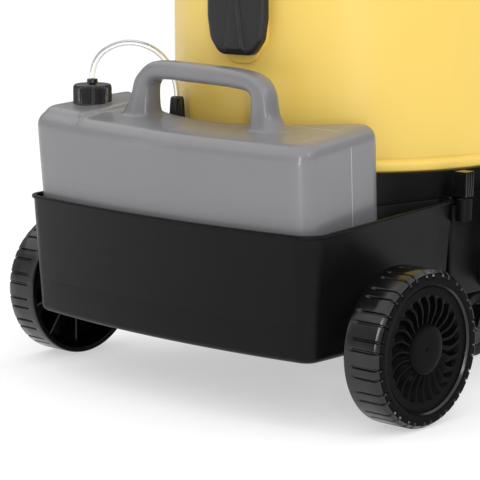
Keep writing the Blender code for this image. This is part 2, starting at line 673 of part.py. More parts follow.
def make_cap_and_collar():
    place = moved(CAP_X, SEAM_Y, 0)
    shoulder = TANK_TOP + TANK_FALL * CAP_X
    low = shoulder + 0.0025
    top = low + CAP_HEIGHT
    under = NECK_TOP + RUNNING
    bore = COLLAR_STEM + RUNNING
    collar_low = under - 0.006
    collar_top = top + COLLAR_HEIGHT
    profile = [(bore, under), (NECK_RADIUS + RUNNING, under), (NECK_RADIUS + RUNNING, low),
               (CAP_RADIUS - 0.0008, low), (CAP_RADIUS, low + 0.001), (CAP_RADIUS, top - 0.0015),
               (CAP_RADIUS - 0.0015, top), (bore, top)]
    turned("tank_cap", profile, "black", ROUND, True, place)
    collar = [(COLLAR_BORE, collar_low), (COLLAR_STEM, collar_low), (COLLAR_STEM, top + RUNNING),
              (COLLAR_RADIUS, top + RUNNING), (COLLAR_RADIUS, collar_top), (COLLAR_BORE, collar_top)]
    turned("hose_collar", collar, "black", SMALL_ROUND, True, place)
    pipe("dip_tube", HOSE_RADIUS, 0.0026, BASE_BOTTOM + 0.030, collar_low - GAP, "clear", 12, place)
    return collar_top


# ---------------------------------------------------------------- clear hose and its connector
def smooth_route(points, per_span):
    """Catmull-Rom points through a list of route points."""
    padded = [points[0] * 2.0 - points[1]] + points + [points[-1] * 2.0 - points[-2]]
    made = []
    for a, b, c, d in zip(padded, padded[1:], padded[2:], padded[3:]):
        for k in range(per_span):
            t = k / per_span
            made.append(0.5 * ((b * 2.0) + (c - a) * t + (a * 2.0 - b * 5.0 + c * 4.0 - d) * t ** 2
                               + (b * 3.0 - a - c * 3.0 + d) * t ** 3))
    made.append(points[-1])
    return made


def tube(name, points, radius, finish, resolution=2):
    curve = bpy.data.curves.new(name, "CURVE")
    curve.dimensions = "3D"
    curve.bevel_depth = radius
    curve.bevel_resolution = resolution
    curve.use_fill_caps = True
    spline = curve.splines.new("POLY")
    spline.points.add(len(points) - 1)
    for slot, point in zip(spline.points, points):
        slot.co = (*point, 1.0)
    obj = bpy.data.objects.new(name, curve)
    bpy.context.collection.objects.link(obj)
    obj.data.materials.append(material(name, *FINISHES[finish]))
    return obj


def make_hose(collar_top):
    route = [Vector((x, AXLE_Y + back, z)) for x, back, z in HOSE_ROUTE]
    route[0] = Vector((CAP_X, SEAM_Y, collar_top + GAP))
    tube("clear_hose", smooth_route(route, 2), HOSE_RADIUS, "clear")
    x, ahead = CONNECTOR_POS
    place = moved(x, AXLE_Y - ahead, 0)
    top = HOSE_ROUTE[-1][2] - GAP
    bore = STUB_RADIUS + RUNNING
    turned("hose_connector", [(0.0, top - 0.006), (bore, top - 0.007), (bore, top - 0.045),
                              (0.0105, top - 0.045), (0.0110, top - 0.012), (0.0085, top - 0.002),
                              (0.0070, top), (0.0, top)], "black", SMALL_ROUND, False, place)
    foot = BASKET_TOP + climb(AXLE_Y - ahead - 2.0 * STUB_RADIUS) + GAP
    pipe("inlet_stub", STUB_RADIUS, 0.0018, foot, top - 0.012, "black", SMALL_ROUND, place)


# ---------------------------------------------------------------- drum
def drum_profile():
    """Half section of the drum: stepped foot, lower lip, straight wall and a thick rim."""
    foot = BASE_RADIUS - BASE_WALL - 0.003
    lip = DRUM_RADIUS + DRUM_LIP_OUT
    seat = BASE_TOP + GAP
    floor = 0.250
    inner = DRUM_RADIUS - DRUM_WALL
    rim = HEAD_RADIUS - 0.001
    return [
        (0, floor), (foot - 0.012, floor), (foot, floor + 0.010), (foot, seat), (lip - 0.001, seat),
        (lip, seat + 0.002), (lip, seat + 0.010), (DRUM_RADIUS - 0.0012, seat + 0.0125),
        (DRUM_RADIUS, seat + 0.015), (DRUM_RADIUS, DRUM_TOP - 0.018), (rim, DRUM_TOP - 0.015),
        (rim, DRUM_TOP), (inner, DRUM_TOP), (inner, floor + 0.018), (inner - 0.016, floor + DRUM_WALL),
        (0, floor + DRUM_WALL)]


def make_drum():
    place = moved(0, DRUM_Y, 0) @ Matrix.Rotation(DRUM_TURN, 4, "Z")
    drum = turned("drum", drum_profile(), "yellow", DRUM_ROUND, False, place)
    outline = filleted([(-0.043, 0.560, 0.0), (-0.043, 0.440, 0.040), (-0.020, 0.4125, 0.020),
                        (0.020, 0.4125, 0.020), (0.043, 0.440, 0.040), (0.043, 0.560, 0.0)], 4)
    outer = DRUM_RADIUS + LATCH_OFFSET - 0.0015
    for side, sign in (("rear", 1.0), ("front", -1.0)):
        rings = [[(x, sign * depth, z) for x, z in outline] for depth in (DRUM_RADIUS - 0.003, outer)]
        add(drum, loft("latch_boss_" + side, rings, "yellow", place, True))
    port = place @ moved(0, 0, INLET_HEIGHT) @ Matrix.Rotation(INLET_TURN, 4, "Z") @ ALONG_Y
    pipe_outer = INLET_BORE + 0.0022
    cut(drum, rod("inlet_hole", pipe_outer + GAP, DRUM_RADIUS - 0.03, DRUM_RADIUS + 0.03, "yellow", 24,
                  port, True))
    flange = 0.0330
    inlet = [(INLET_BORE, DRUM_RADIUS - 0.030), (pipe_outer, DRUM_RADIUS - 0.030),
             (pipe_outer, DRUM_RADIUS + 0.0035), (flange, DRUM_RADIUS + 0.0035), (flange, DRUM_RADIUS + 0.008),
             (INLET_BORE + 0.005, DRUM_RADIUS + 0.010), (INLET_BORE + 0.004, DRUM_RADIUS + 0.034),
             (INLET_BORE, DRUM_RADIUS + 0.034)]
    turned("drum_inlet", inlet, "black", 24, True, port)


def make_latch(side, sign, place, ring):
    """A thick U-ended lever hung on a pin between two ears of the head's ring."""
    half = LATCH_WIDTH / 2.0
    top = LATCH_PIN_Z + LATCH_HEAD
    back = DRUM_RADIUS + LATCH_OFFSET
    pin_out = DRUM_RADIUS + LATCH_PIN_OUT
    pin_place = place @ moved(0, sign * pin_out, LATCH_PIN_Z) @ ALONG_X
    outline = filleted([(-half, top, 0.006), (-half, 0.470, 0.020), (-half * 0.80, 0.440, 0.020),
                        (-half * 0.36, LATCH_BOTTOM, 0.012), (half * 0.36, LATCH_BOTTOM, 0.012),
                        (half * 0.80, 0.440, 0.020), (half, 0.470, 0.020), (half, top, 0.006)], 3)
    middle = (top + LATCH_BOTTOM) / 2.0
    rings = [[(x * k, sign * depth, middle + (z - middle) * (0.5 + 0.5 * k)) for x, z in outline]
             for depth, k in ((back, 1.0), (back + LATCH_THICK - 0.003, 0.985), (back + LATCH_THICK, 0.95))]
    latch = loft("latch_" + side, rings, "black", place)
    low_y, high_y = sorted((sign * (back - 0.02), sign * (back + 0.0035)))
    cut(latch, block("latch_relief_" + side, (-half - 0.01, low_y, LATCH_PIN_Z),
                     (half + 0.01, high_y, top + 0.01), "black", 0.0, 1, place, True))
    slot_low, slot_high = sorted((sign * (back - 0.02), sign * (back + 0.03)))
    ear_low, ear_high = sorted((sign * (HEAD_RADIUS - 0.010), sign * (pin_out + 0.0055)))
    for edge, ear in (("a", -1.0), ("b", 1.0)):
        low_x, high_x = sorted((ear * 0.0172, ear * 0.0250))
        cut(latch, block("ear_slot_" + side + edge, (low_x, slot_low, LATCH_PIN_Z - 0.022),
                         (high_x, slot_high, LATCH_PIN_Z + 0.022), "black", 0.0, 1, place, True))
        low_x, high_x = sorted((ear * 0.0180, ear * 0.0240))
        add(ring, block("latch_ear_" + side + edge, (low_x, ear_low, LATCH_PIN_Z - 0.0075),
                        (high_x, ear_high, LATCH_PIN_Z + 0.0060), "black", 0.0, 1, place, True))
    face = back + LATCH_THICK
    foot = ((-0.018, LATCH_BOTTOM + 0.001), (0.018, LATCH_BOTTOM + 0.001), (0.002, 0.505), (-0.002, 0.505))
    crest = ((-LATCH_SPINE_HALF, LATCH_BOTTOM + 0.003), (LATCH_SPINE_HALF, LATCH_BOTTOM + 0.003),
             (0.001, 0.495), (-0.001, 0.495))
    spine = loft("latch_spine_" + side, [[(x, sign * (face - 0.001), z) for x, z in foot],
                                         [(x, sign * (face + LATCH_SPINE), z) for x, z in crest]],
                 "black", place, True)
    add(latch, spine)
    reach = half + 0.01
    cut(latch, rod("latch_pivot_bore_" + side, LATCH_PIN_RADIUS + RUNNING, -reach, reach, "steel", SMALL_ROUND,
                   pin_place, True))
    cut(ring, rod("latch_ear_bore_" + side, LATCH_PIN_RADIUS + GAP, -reach, reach, "steel", SMALL_ROUND,
                  pin_place, True))
    rod("latch_pin_" + side, LATCH_PIN_RADIUS, -0.037, 0.037, "steel", SMALL_ROUND, pin_place)


# ---------------------------------------------------------------- motor head
def make_head():
    place = moved(0, DRUM_Y, 0)
    inner = DRUM_RADIUS - DRUM_WALL
    pipe("head_gasket", HEAD_RADIUS - 0.004, inner + 0.001, DRUM_TOP + GAP, HEAD_LOW - GAP, "rubber",
         ROUND, place)
    deck = HEAD_LOW + 0.006
    centre_hole = 0.075
    section = [(centre_hole, HEAD_LOW), (HEAD_RADIUS - 0.001, HEAD_LOW), (HEAD_RADIUS, HEAD_LOW + 0.001),
               (HEAD_RADIUS, HEAD_LOW + 0.012), (HEAD_RADIUS - 0.006, HEAD_LOW + 0.020),
               (HEAD_RADIUS - 0.014, HEAD_RING_TOP), (HEAD_RADIUS - 0.018, HEAD_RING_TOP),
               (HEAD_RADIUS - 0.012, deck + 0.010), (HEAD_RADIUS - 0.016, deck), (centre_hole, deck)]
    ring = turned("head_base", section, "black", ROUND, True, place)
    latch_place = place @ Matrix.Rotation(DRUM_TURN, 4, "Z")
    make_latch("rear", 1.0, latch_place, ring)
    make_latch("front", -1.0, latch_place, ring)
    low = HEAD_RING_TOP + GAP
    outer = HEAD_RADIUS - 0.016
    make_cover(place, outer, low)
    make_switches(place, outer, low)
    make_motor(place, deck)
    make_filter(place)
    make_carry_handle(place)


def make_cover(place, outer, low):
    """Domed cover with a window for the switch panel and exhaust slots on both sides."""
    wall = 0.0035
    dome = [(0, HEAD_COVER_TOP), (outer - 0.060, HEAD_COVER_TOP - 0.004),
            (outer - 0.022, HEAD_COVER_TOP - 0.022), (outer - 0.006, HEAD_COVER_TOP - 0.050), (outer, low), (outer - wall, low),
            (outer - 0.006 - wall, HEAD_COVER_TOP - 0.052), (outer - 0.023 - wall, HEAD_COVER_TOP - 0.027),
            (outer - 0.061, HEAD_COVER_TOP - 0.008), (0, HEAD_COVER_TOP - 0.004)]
    cover = turned("head_cover", dome, "yellow", ROUND, False, place)
    half = 0.0755
    cut(cover, block("panel_window", (-half, -HEAD_RADIUS - 0.02, low + 0.008),
                     (half, -outer + 0.050, low + 0.064), "black", 0.0, 1, place, True))
    slots = bmesh.new()
    size = Matrix.Diagonal((0.010, 0.080, 0.026, 1.0))
    for sign in (-1.0, 1.0):
        for k in range(6):
            spot = Matrix.Rotation(sign * math.radians(90.0 + 7.0 * (k - 2.5)), 4, "Z")
            spot = spot @ moved(0, outer - 0.010, low + 0.022)
            bmesh.ops.create_cube(slots, size=1.0, matrix=place @ spot @ size)
    cut(cover, finish_object("exhaust_slots", slots, "black", True))


def make_carry_handle(place):
    """Bail-shaped grip across the top, on two pads screwed to the cover."""
    rings = []
    thick, deep = 0.009, 0.015
    grip = HANDLE_TOP - thick
    stations = ((-0.100, 0.752, 90.0), (-0.097, 0.766, 84.0), (-0.084, 0.780, 40.0), (-0.060, grip, 4.0),
                (0.0, grip, 0.0), (0.060, grip, -4.0), (0.084, 0.780, -40.0), (0.097, 0.766, -84.0),
                (0.100, 0.752, -90.0))
    for x, z, tilt in stations:
        angle = math.radians(tilt)
        normal = Vector((-math.sin(angle), 0.0, math.cos(angle)))
        ring = []
        for k in range(12):
            turn = 2.0 * math.pi * k / 12.0
            point = Vector((x, 0.0, z)) + normal * (thick * math.cos(turn))
            point.y += deep * math.sin(turn)
            ring.append(tuple(point))
        rings.append(ring)
    handle = loft("carry_handle", rings, "black", place)
    pad_low = HEAD_COVER_TOP + GAP
    for side, sign in (("a", -1.0), ("b", 1.0)):
        low_x, high_x = sorted((sign * 0.086, sign * 0.126))
        add(handle, block("handle_pad_" + side, (low_x, -0.020, pad_low), (high_x, 0.020, 0.757), "black",
                          0.003, 1, place, True))


def make_switches(place, outer, low):
    """Panel in the cover's front window with three rockers, each resting on its off side."""
    centre_z = low + 0.036
    face_y = -outer + 0.028
    panel = block("switch_panel", (-0.0750, face_y, low + 0.0085), (0.0750, face_y + 0.004, low + 0.0635),
                  "black", 0.0, 1, place)
    for k, name in enumerate(("switch_motor_a", "switch_motor_b", "switch_pump")):
        x = SWITCH_PITCH * (k - 1)
        hole = block(name + "_hole", (x - 0.0125, face_y - 0.01, centre_z - 0.0165),
                     (x + 0.0125, face_y + 0.01, centre_z + 0.0165), "black", 0.0, 1, place, True)
        cut(panel, hole)
        body = place @ moved(x, face_y + 0.004, centre_z) @ Matrix.Rotation(ROCKER_TILT, 4, "X")
        profile = [(-0.0070, -0.0143), (-0.0040, 0.0), (-0.0070, 0.0143), (0.0050, 0.0120), (0.0060, 0.0),
                   (0.0050, -0.0120)]
        rings = [[(across, py, pz) for py, pz in profile] for across in (-0.0110, 0.0110)]
        loft(name, rings, "red", body)
    gland = [(0.0042, 0.0), (0.0105, 0.0), (0.0105, 0.004), (0.0085, 0.006), (0.0085, 0.020),
             (0.0060, 0.024), (0.0042, 0.024)]
    gland_place = place @ moved(0, outer - 0.0005, low + 0.018) @ ALONG_Y
    turned("cord_gland", gland, "black", SMALL_ROUND, True, gland_place)


def make_motor(place, deck):
    """Vacuum motor on top of its fan housing, with the fan on a spindle inside."""
    low = deck + GAP
    top = low + 0.044
    wall = 0.003
    shaft = 0.0045
    housing = [(0.020, low), (FAN_HOUSING_RADIUS, low), (FAN_HOUSING_RADIUS, top), (0.0090, top),
               (0.0090, top - wall), (FAN_HOUSING_RADIUS - wall, top - wall),
               (FAN_HOUSING_RADIUS - wall, low + wall), (0.020, low + wall)]
    turned("fan_housing", housing, "steel", 24, True, place)
    rotor = [(shaft, low + 0.008), (FAN_RADIUS, low + 0.008), (FAN_RADIUS, low + 0.0095), (0.012, low + 0.012),
             (0.012, low + 0.030), (shaft, low + 0.030)]
    fan = turned("fan_rotor", rotor, "steel", 24, True, place)
    blades = bmesh.new()
    size = Matrix.Diagonal((0.058, 0.0015, 0.024, 1.0))
    for k in range(6):
        spot = Matrix.Rotation(math.radians(60.0 * k), 4, "Z") @ moved(0.040, 0, low + 0.0205)
        bmesh.ops.create_cube(blades, size=1.0, matrix=place @ spot @ size)
    add(fan, finish_object("fan_blades", blades, "steel", True))
    spindle = shaft - RUNNING
    body = [(0, low + 0.0065), (spindle, low + 0.0065), (spindle, top + GAP), (MOTOR_RADIUS, top + GAP),
            (MOTOR_RADIUS, top + 0.030), (MOTOR_RADIUS - 0.012, top + 0.036), (0, top + 0.036)]
    turned("vacuum_motor", body, "steel", 24, False, place)


def make_filter(place):
    """Cage under the head that holds the shut-off float."""
    top = HEAD_LOW - GAP
    outer = CAGE_RADIUS
    low = top - CAGE_DEPTH
    wall = 0.003
    section = [(outer, top), (outer + 0.012, top), (outer + 0.012, top - wall), (outer + wall, top - wall),
               (outer + wall, low + 0.006), (outer - wall, low), (0.010, low), (0.010, low + wall),
               (outer - 0.004, low + wall), (outer, low + 0.007)]
    cage = turned("filter_cage", section, "white", 24, True, place)
    slots = bmesh.new()
    size = Matrix.Diagonal((0.030, 0.030, 0.066, 1.0))
    for k in range(8):
        spot = Matrix.Rotation(math.radians(45.0 * k), 4, "Z") @ moved(outer, 0, top - 0.053)
        bmesh.ops.create_cube(slots, size=1.0, matrix=place @ spot @ size)
    cut(cage, finish_object("cage_slots", slots, "white", True))
    foot = low + wall + GAP
    ball = [(0, foot), (0.020, foot), (0.030, foot + 0.006), (FLOAT_RADIUS, foot + 0.018),
            (0.030, foot + 0.030), (0.020, foot + 0.036), (0, foot + 0.036)]
    turned("float_ball", ball, "white", 24, False, place)


# ---------------------------------------------------------------- pump under the drum
def make_pump():
    floor = BASE_BOTTOM + BASE_WALL + GAP
    x, y = PUMP_POS[0], DRUM_Y + PUMP_POS[1]
    plate = 0.003
    block("pump_bracket", (x - 0.050, y - 0.032, floor), (x + 0.050, y + 0.032, floor + plate), "steel")
    base = floor + plate + GAP
    body = block("solution_pump", (x - 0.048, y - 0.028, base), (x + 0.012, y + 0.028, base + 0.056),
                 "black", 0.004, 1)
    motor = rod("pump_motor_form", PUMP_MOTOR_RADIUS, 0.010, 0.050, "black", SMALL_ROUND,
                moved(x, y, base + 0.028) @ ALONG_X, True)
    add(body, motor)


def make_coupling():
    """Quick coupling for the spray line, standing out of the front of the base."""
    turn = Matrix.Rotation(COUPLING_ANGLE, 4, "Z") @ Matrix.Rotation(math.radians(90.0), 4, "X")
    out = moved(0, DRUM_Y, COUPLING_Z) @ turn @ moved(0, 0, BASE_RADIUS)
    way, stem = 0.0035, 0.0070
    body = [(way, 0.0005), (0.0130, 0.0005), (0.0130, 0.003), (stem, 0.003), (stem, 0.030),
            (stem - 0.001, 0.032), (way, 0.032)]
    turned("coupling_body", body, "brass", SMALL_ROUND, True, out)
    bore = stem + RUNNING
    sleeve = [(bore, 0.010), (0.0105, 0.010), (0.0115, 0.012), (0.0115, 0.024), (0.0105, 0.026), (bore, 0.026)]
    turned("coupling_sleeve", sleeve, "steel", SMALL_ROUND, True, out)


# ---------------------------------------------------------------- drain
def make_drain():
    """Outlet elbow low on the side pod, a short ribbed hose held up by a clip, and its cap."""
    x = -POD_HALF_WIDTH - DRAIN_STAND
    side = -POD_HALF_WIDTH - GAP
    upright = moved(x, DRAIN_Y, DRAIN_Z)
    sideways = moved(side, DRAIN_Y, DRAIN_Z) @ Matrix.Rotation(math.radians(-90.0), 4, "Y")
    neck = DRAIN_ROUTE[0][1] - GAP
    elbow = [(0, -0.016), (0.0120, -0.016), (0.0165, -0.011), (0.0165, 0.018), (0.0150, neck), (0, neck)]
    outlet = turned("drain_outlet", elbow, "black", SMALL_ROUND, False, upright)
    flange = [(0, 0.0), (0.024, 0.0), (0.024, 0.004), (0.0125, 0.005), (0.0125, DRAIN_STAND), (0, DRAIN_STAND)]
    add(outlet, turned("outlet_flange", flange, "black", SMALL_ROUND, False, sideways, True))
    cut(outlet, rod("outlet_bore", 0.0100, -0.008, 0.030, "black", SMALL_ROUND, upright, True),
        rod("outlet_way", 0.0090, -0.010, DRAIN_STAND - 0.003, "black", SMALL_ROUND, sideways, True))
    route = [Vector((x, DRAIN_Y - forward, DRAIN_Z + up)) for forward, up in DRAIN_ROUTE]
    tube("drain_hose", smooth_route(route, 2), DRAIN_HOSE_RADIUS, "rubber")
    end = route[-1]
    cap = [(0, GAP), (0.0175, GAP), (0.0185, 0.002), (0.0185, 0.014), (0.0165, 0.017), (0, 0.017)]
    turned("drain_cap", cap, "black", SMALL_ROUND, False, moved(*end))
    clip_z = end.z - 0.030
    arm = 0.0190
    clip = block("hose_clip", (x - arm, end.y - arm, clip_z - 0.006), (side, end.y + arm, clip_z + 0.006),
                 "black", 0.003, 1)
    cut(clip, rod("clip_bore", DRAIN_HOSE_RADIUS + 0.0025, -0.02, 0.02, "black", SMALL_ROUND,
                  moved(end.x, end.y, clip_z), True))


def main():
    clear_scene()
    make_axle()
    make_wheels()
    make_axle_brackets()
    make_casters()
    make_base()
    make_basket_pins()
    make_basket()
    make_tank()
    collar_top = make_cap_and_collar()
    make_hose(collar_top)
    make_drum()
    make_head()
    make_pump()
    make_coupling()
    make_drain()


main()
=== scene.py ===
"""Looks of the carpet cleaner machine: detailed shells, wheels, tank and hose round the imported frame."""
import math

import bmesh
import bpy
from mathutils import Matrix, Vector


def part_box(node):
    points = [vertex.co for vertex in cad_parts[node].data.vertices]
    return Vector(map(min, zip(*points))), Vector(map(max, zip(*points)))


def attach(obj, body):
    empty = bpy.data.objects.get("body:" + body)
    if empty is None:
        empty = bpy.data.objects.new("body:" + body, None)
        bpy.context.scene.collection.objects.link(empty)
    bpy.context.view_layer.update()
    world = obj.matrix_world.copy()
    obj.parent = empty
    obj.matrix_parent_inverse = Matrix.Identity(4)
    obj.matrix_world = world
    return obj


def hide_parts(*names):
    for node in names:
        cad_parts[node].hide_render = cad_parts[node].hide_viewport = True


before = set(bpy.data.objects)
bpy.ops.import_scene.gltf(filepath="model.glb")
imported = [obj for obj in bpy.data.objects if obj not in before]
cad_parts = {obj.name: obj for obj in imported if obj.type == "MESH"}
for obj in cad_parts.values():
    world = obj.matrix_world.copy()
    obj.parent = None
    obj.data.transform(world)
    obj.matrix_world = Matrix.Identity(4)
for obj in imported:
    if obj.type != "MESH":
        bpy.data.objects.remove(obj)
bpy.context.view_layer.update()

# ---------------------------------------------------------------- places, from the frame
AXLE_LOW, AXLE_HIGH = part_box("rear_axle")
AXLE_Y = (AXLE_LOW.y + AXLE_HIGH.y) / 2.0
AXLE_Z = (AXLE_LOW.z + AXLE_HIGH.z) / 2.0
WHEEL_LOW, WHEEL_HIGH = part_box("rear_wheel_left")
WHEEL_RADIUS = (WHEEL_HIGH.z - WHEEL_LOW.z) / 2.0
WHEEL_WIDTH = WHEEL_HIGH.x - WHEEL_LOW.x
RING_LOW, RING_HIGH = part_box("head_base")
DRUM_Y = (RING_LOW.y + RING_HIGH.y) / 2.0
HEAD_RADIUS = (RING_HIGH.x - RING_LOW.x) / 2.0
DRUM_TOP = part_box("drum")[1].z
DRUM_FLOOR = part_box("drum")[0].z
BASE_LOW, BASE_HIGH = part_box("base_frame")
BASKET_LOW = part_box("rear_basket")[0]
TANK_LOW, TANK_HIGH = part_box("detergent_tank")
CAP_LOW, CAP_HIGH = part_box("tank_cap")
CAP_X = (CAP_LOW.x + CAP_HIGH.x) / 2.0
SEAM_Y = (CAP_LOW.y + CAP_HIGH.y) / 2.0
COVER_LOW, COVER_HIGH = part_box("head_cover")

DRUM_RADIUS = 0.2316
DRUM_WALL = 0.004
DRUM_TURN = math.radians(6.0)    # the drum, its port and its latches are turned this far about its axis
BASE_RADIUS = 0.240
BASE_WALL = 0.005
LIP_OUT = 0.004              # how far the drum's lower lip stands out
BASKET_HALF = 0.2455
BASKET_REACH = 0.143         # rear axle to the basket's rear face
BASKET_TOP = 0.235
BASKET_WALL = 0.0035
BASKET_BOW = 0.019           # how much the rear face bows out
BASKET_DRAFT = 0.0085        # how much the bottom draws in below the rim
BASKET_STEP = 0.030          # the deep well's front wall is this far behind the axle
BASKET_FRONT = 0.139         # the side wings end this far ahead of the axle
BASKET_RISE = 0.014          # how much the wings' rim climbs towards the front
BASKET_BEAD = 0.0025
BASKET_CORNER = 0.030
BASKET_SHARE = 0.86          # share of the rear face, between its corners, that follows the bow
POD_HALF = 0.2412            # half width across the base's side pods
TANK_TOP = 0.342
CAP_SLOPE = 0.024            # how steeply the tank's top climbs sideways to its cap
FAR_SLOPE = 0.008            # and how steeply it falls on the other side
DRUM_SLOPE = 0.090           # and climbs towards the drum
TANK_SHIFT = 0.0045          # the tank sits off centre, towards its cap
LATCH_PIN_Z = 0.606
LATCH_BOTTOM = 0.424
LATCH_BACK = DRUM_RADIUS + 0.0075
LATCH_HALF = 0.044
PAD_HALF = 0.036             # the raised pad behind each latch
PAD_TOP, PAD_FOOT = 0.560, 0.4130
PORT_Z = 0.520               # suction port, on the drum's side
PORT_TURN = math.radians(-75.0)
POD_TOP = 0.252
SEAM_FORWARD = 0.0335        # the tank's mould seam runs this far ahead of its handle
HOSE_RADIUS, HOSE_BORE = 0.0040, 0.0025
AT_DRUM = Matrix.Translation((0, DRUM_Y, 0))
TURNED_DRUM = AT_DRUM @ Matrix.Rotation(DRUM_TURN, 4, "Z")


# ---------------------------------------------------------------- materials
def shader_of(name):
    """A new node material, its tree and its shader."""
    made = bpy.data.materials.new(name)
    made.use_nodes = True
    tree = made.node_tree
    return made, tree, tree.nodes["Principled BSDF"]


def noise(tree, scale, detail=4.0, rough=0.55, stretch=(1.0, 1.0, 1.0)):
    """Noise fixed to the object, as a socket from 0 to 1."""
    coords = tree.nodes.new("ShaderNodeTexCoord")
    mapping = tree.nodes.new("ShaderNodeMapping")
    mapping.inputs["Scale"].default_value = stretch
    tree.links.new(coords.outputs["Object"], mapping.inputs["Vector"])
    made = tree.nodes.new("ShaderNodeTexNoise")
    made.inputs["Scale"].default_value = scale
    made.inputs["Detail"].default_value = detail
    made.inputs["Roughness"].default_value = rough
    tree.links.new(mapping.outputs["Vector"], made.inputs["Vector"])
    return made.outputs["Fac"]


def ramp(tree, source, stops):
    """Colours at (position, colour) stops, picked by a socket."""
    node = tree.nodes.new("ShaderNodeValToRGB")
    elements = node.color_ramp.elements
    elements[0].position, elements[0].color = stops[0][0], (*stops[0][1], 1.0)
    elements[1].position, elements[1].color = stops[-1][0], (*stops[-1][1], 1.0)
    for position, colour in stops[1:-1]:
        elements.new(position).color = (*colour, 1.0)
    tree.links.new(source, node.inputs["Fac"])
    return node.outputs["Color"]


def spread(tree, source, low, high, least=0.3, most=0.7):
    """Stretch a socket's range from least to most over low to high."""
    node = tree.nodes.new("ShaderNodeMapRange")
    for field, value in (("From Min", least), ("From Max", most), ("To Min", low), ("To Max", high)):
        node.inputs[field].default_value = value
    tree.links.new(source, node.inputs["Value"])
    return node.outputs["Result"]


def bump(tree, shader, layers):
    """Chain of bumps; each layer is (source, strength, distance in metres)."""
    last = None
    for source, strength, distance in layers:
        node = tree.nodes.new("ShaderNodeBump")
        node.inputs["Strength"].default_value = strength
        node.inputs["Distance"].default_value = distance
        tree.links.new(source, node.inputs["Height"])
        if last is not None:
            tree.links.new(last, node.inputs["Normal"])
        last = node.outputs["Normal"]
    tree.links.new(last, shader.inputs["Normal"])


def plastic(name, colour, rough, grain, grain_scale, mottle, specular=0.5, wave=0.0, coat=0.0,
            stretch=(1, 1, 1)):
    """Moulded plastic: faint mottling, uneven gloss, a spark-eroded grain and a slow waviness."""
    made, tree, shader = shader_of(name)
    cloud = noise(tree, 9.0, 5.0, 0.6, stretch)
    dark = tuple(c * (1.0 - mottle) for c in colour)
    light = tuple(min(c * (1.0 + mottle), 1.0) for c in colour)
    colours = ramp(tree, cloud, [(0.30, dark), (0.50, colour), (0.70, light)])
    tree.links.new(colours, shader.inputs["Base Color"])
    smudge = noise(tree, 34.0, 6.0, 0.65, stretch)
    tree.links.new(spread(tree, smudge, rough - 0.05, rough + 0.06), shader.inputs["Roughness"])
    shader.inputs["Specular IOR Level"].default_value = specular
    shader.inputs["Coat Weight"].default_value = coat
    shader.inputs["Coat Roughness"].default_value = 0.12
    layers = [(noise(tree, grain_scale, 3.0, 0.5), grain, 0.0002)]
    if wave > 0.0:
        layers.append((noise(tree, 14.0, 2.0, 0.4, stretch), wave, 0.004))
    bump(tree, shader, layers)
    return made


def metal(name, colour, rough, stretch):
    made, tree, shader = shader_of(name)
    lines = noise(tree, 60.0, 6.0, 0.7, stretch)
    tree.links.new(ramp(tree, lines, [(0.3, tuple(c * 0.86 for c in colour)), (0.7, colour)]),
                   shader.inputs["Base Color"])
    tree.links.new(spread(tree, lines, rough - 0.06, rough + 0.10), shader.inputs["Roughness"])
    shader.inputs["Metallic"].default_value = 1.0
    bump(tree, shader, [(lines, 0.15, 0.0002)])
    return made


def clear_plastic(name):
    made, tree, shader = shader_of(name)
    tree.links.new(ramp(tree, noise(tree, 40.0), [(0.3, (0.94, 0.96, 0.95)), (0.7, (0.97, 0.97, 0.96))]),
                   shader.inputs["Base Color"])
    shader.inputs["Transmission Weight"].default_value = 1.0
    shader.inputs["IOR"].default_value = 1.38
    haze = noise(tree, 60.0, 3.0)
    tree.links.new(spread(tree, haze, 0.02, 0.09), shader.inputs["Roughness"])
    bump(tree, shader, [(noise(tree, 220.0, 2.0), 0.04, 0.0003)])
    return made


YELLOW = plastic("yellow_moulded", (0.875, 0.618, 0.131), 0.36, 0.10, 1300.0, 0.02, 0.40, 0.08,
                 stretch=(1, 1, 0.4))
GREY = plastic("grey_blow_moulded", (0.203, 0.201, 0.213), 0.36, 0.10, 700.0, 0.025, 0.30, 0.20, 0.45,
               (1, 1, 1.5))
# the flash line's bead is painted a lighter grey than the tank: a painted highlight for the light the raised
# seam catches
SEAM_PAINTED_HIGHLIGHT = plastic("grey_flash_line_painted_highlight", (0.42, 0.42, 0.45), 0.42, 0.10, 700.0, 0.03)
BLACK = plastic("black_gloss", (0.0046, 0.0046, 0.0050), 0.22, 0.10, 900.0, 0.15, 0.38, 0.05)
GRAINED = plastic("black_grained", (0.0042, 0.0042, 0.0046), 0.34, 0.60, 1150.0, 0.15, 0.12)
LATCH_BLACK = plastic("black_leather_grain", (0.012, 0.0115, 0.012), 0.42, 0.80, 700.0, 0.18, 0.40)
WHEEL_BLACK = plastic("black_wheel", (0.0034, 0.0034, 0.0038), 0.20, 0.12, 600.0, 0.15, 0.50, 0.04)
FACE_BLACK = plastic("black_wheel_face", (0.0030, 0.0030, 0.0033), 0.22, 0.12, 600.0, 0.15, 0.035, 0.04)
CAP_BLACK = plastic("black_cap", (0.0095, 0.0090, 0.0095), 0.24, 0.10, 900.0, 0.15, 0.60, 0.04)
RUBBER = plastic("black_rubber", (0.009, 0.009, 0.009), 0.60, 0.40, 700.0, 0.18, 0.3)
WHITE = plastic("white_moulded", (0.72, 0.71, 0.67), 0.42, 0.20, 900.0, 0.04)
RED = plastic("red_rocker", (0.42, 0.018, 0.014), 0.25, 0.08, 900.0, 0.05)
STEEL = metal("zinc_steel", (0.58, 0.58, 0.60), 0.30, (4, 4, 0.3))
BRASS = metal("turned_brass", (0.74, 0.54, 0.25), 0.28, (1, 1, 6))
CLEAR = clear_plastic("clear_pvc")


# ---------------------------------------------------------------- mesh helpers
def clamp(value):
    return min(max(value, 0.0), 1.0)


def polar(radius, angle, z=0.0):
    return Vector((radius * math.cos(angle), radius * math.sin(angle), z))


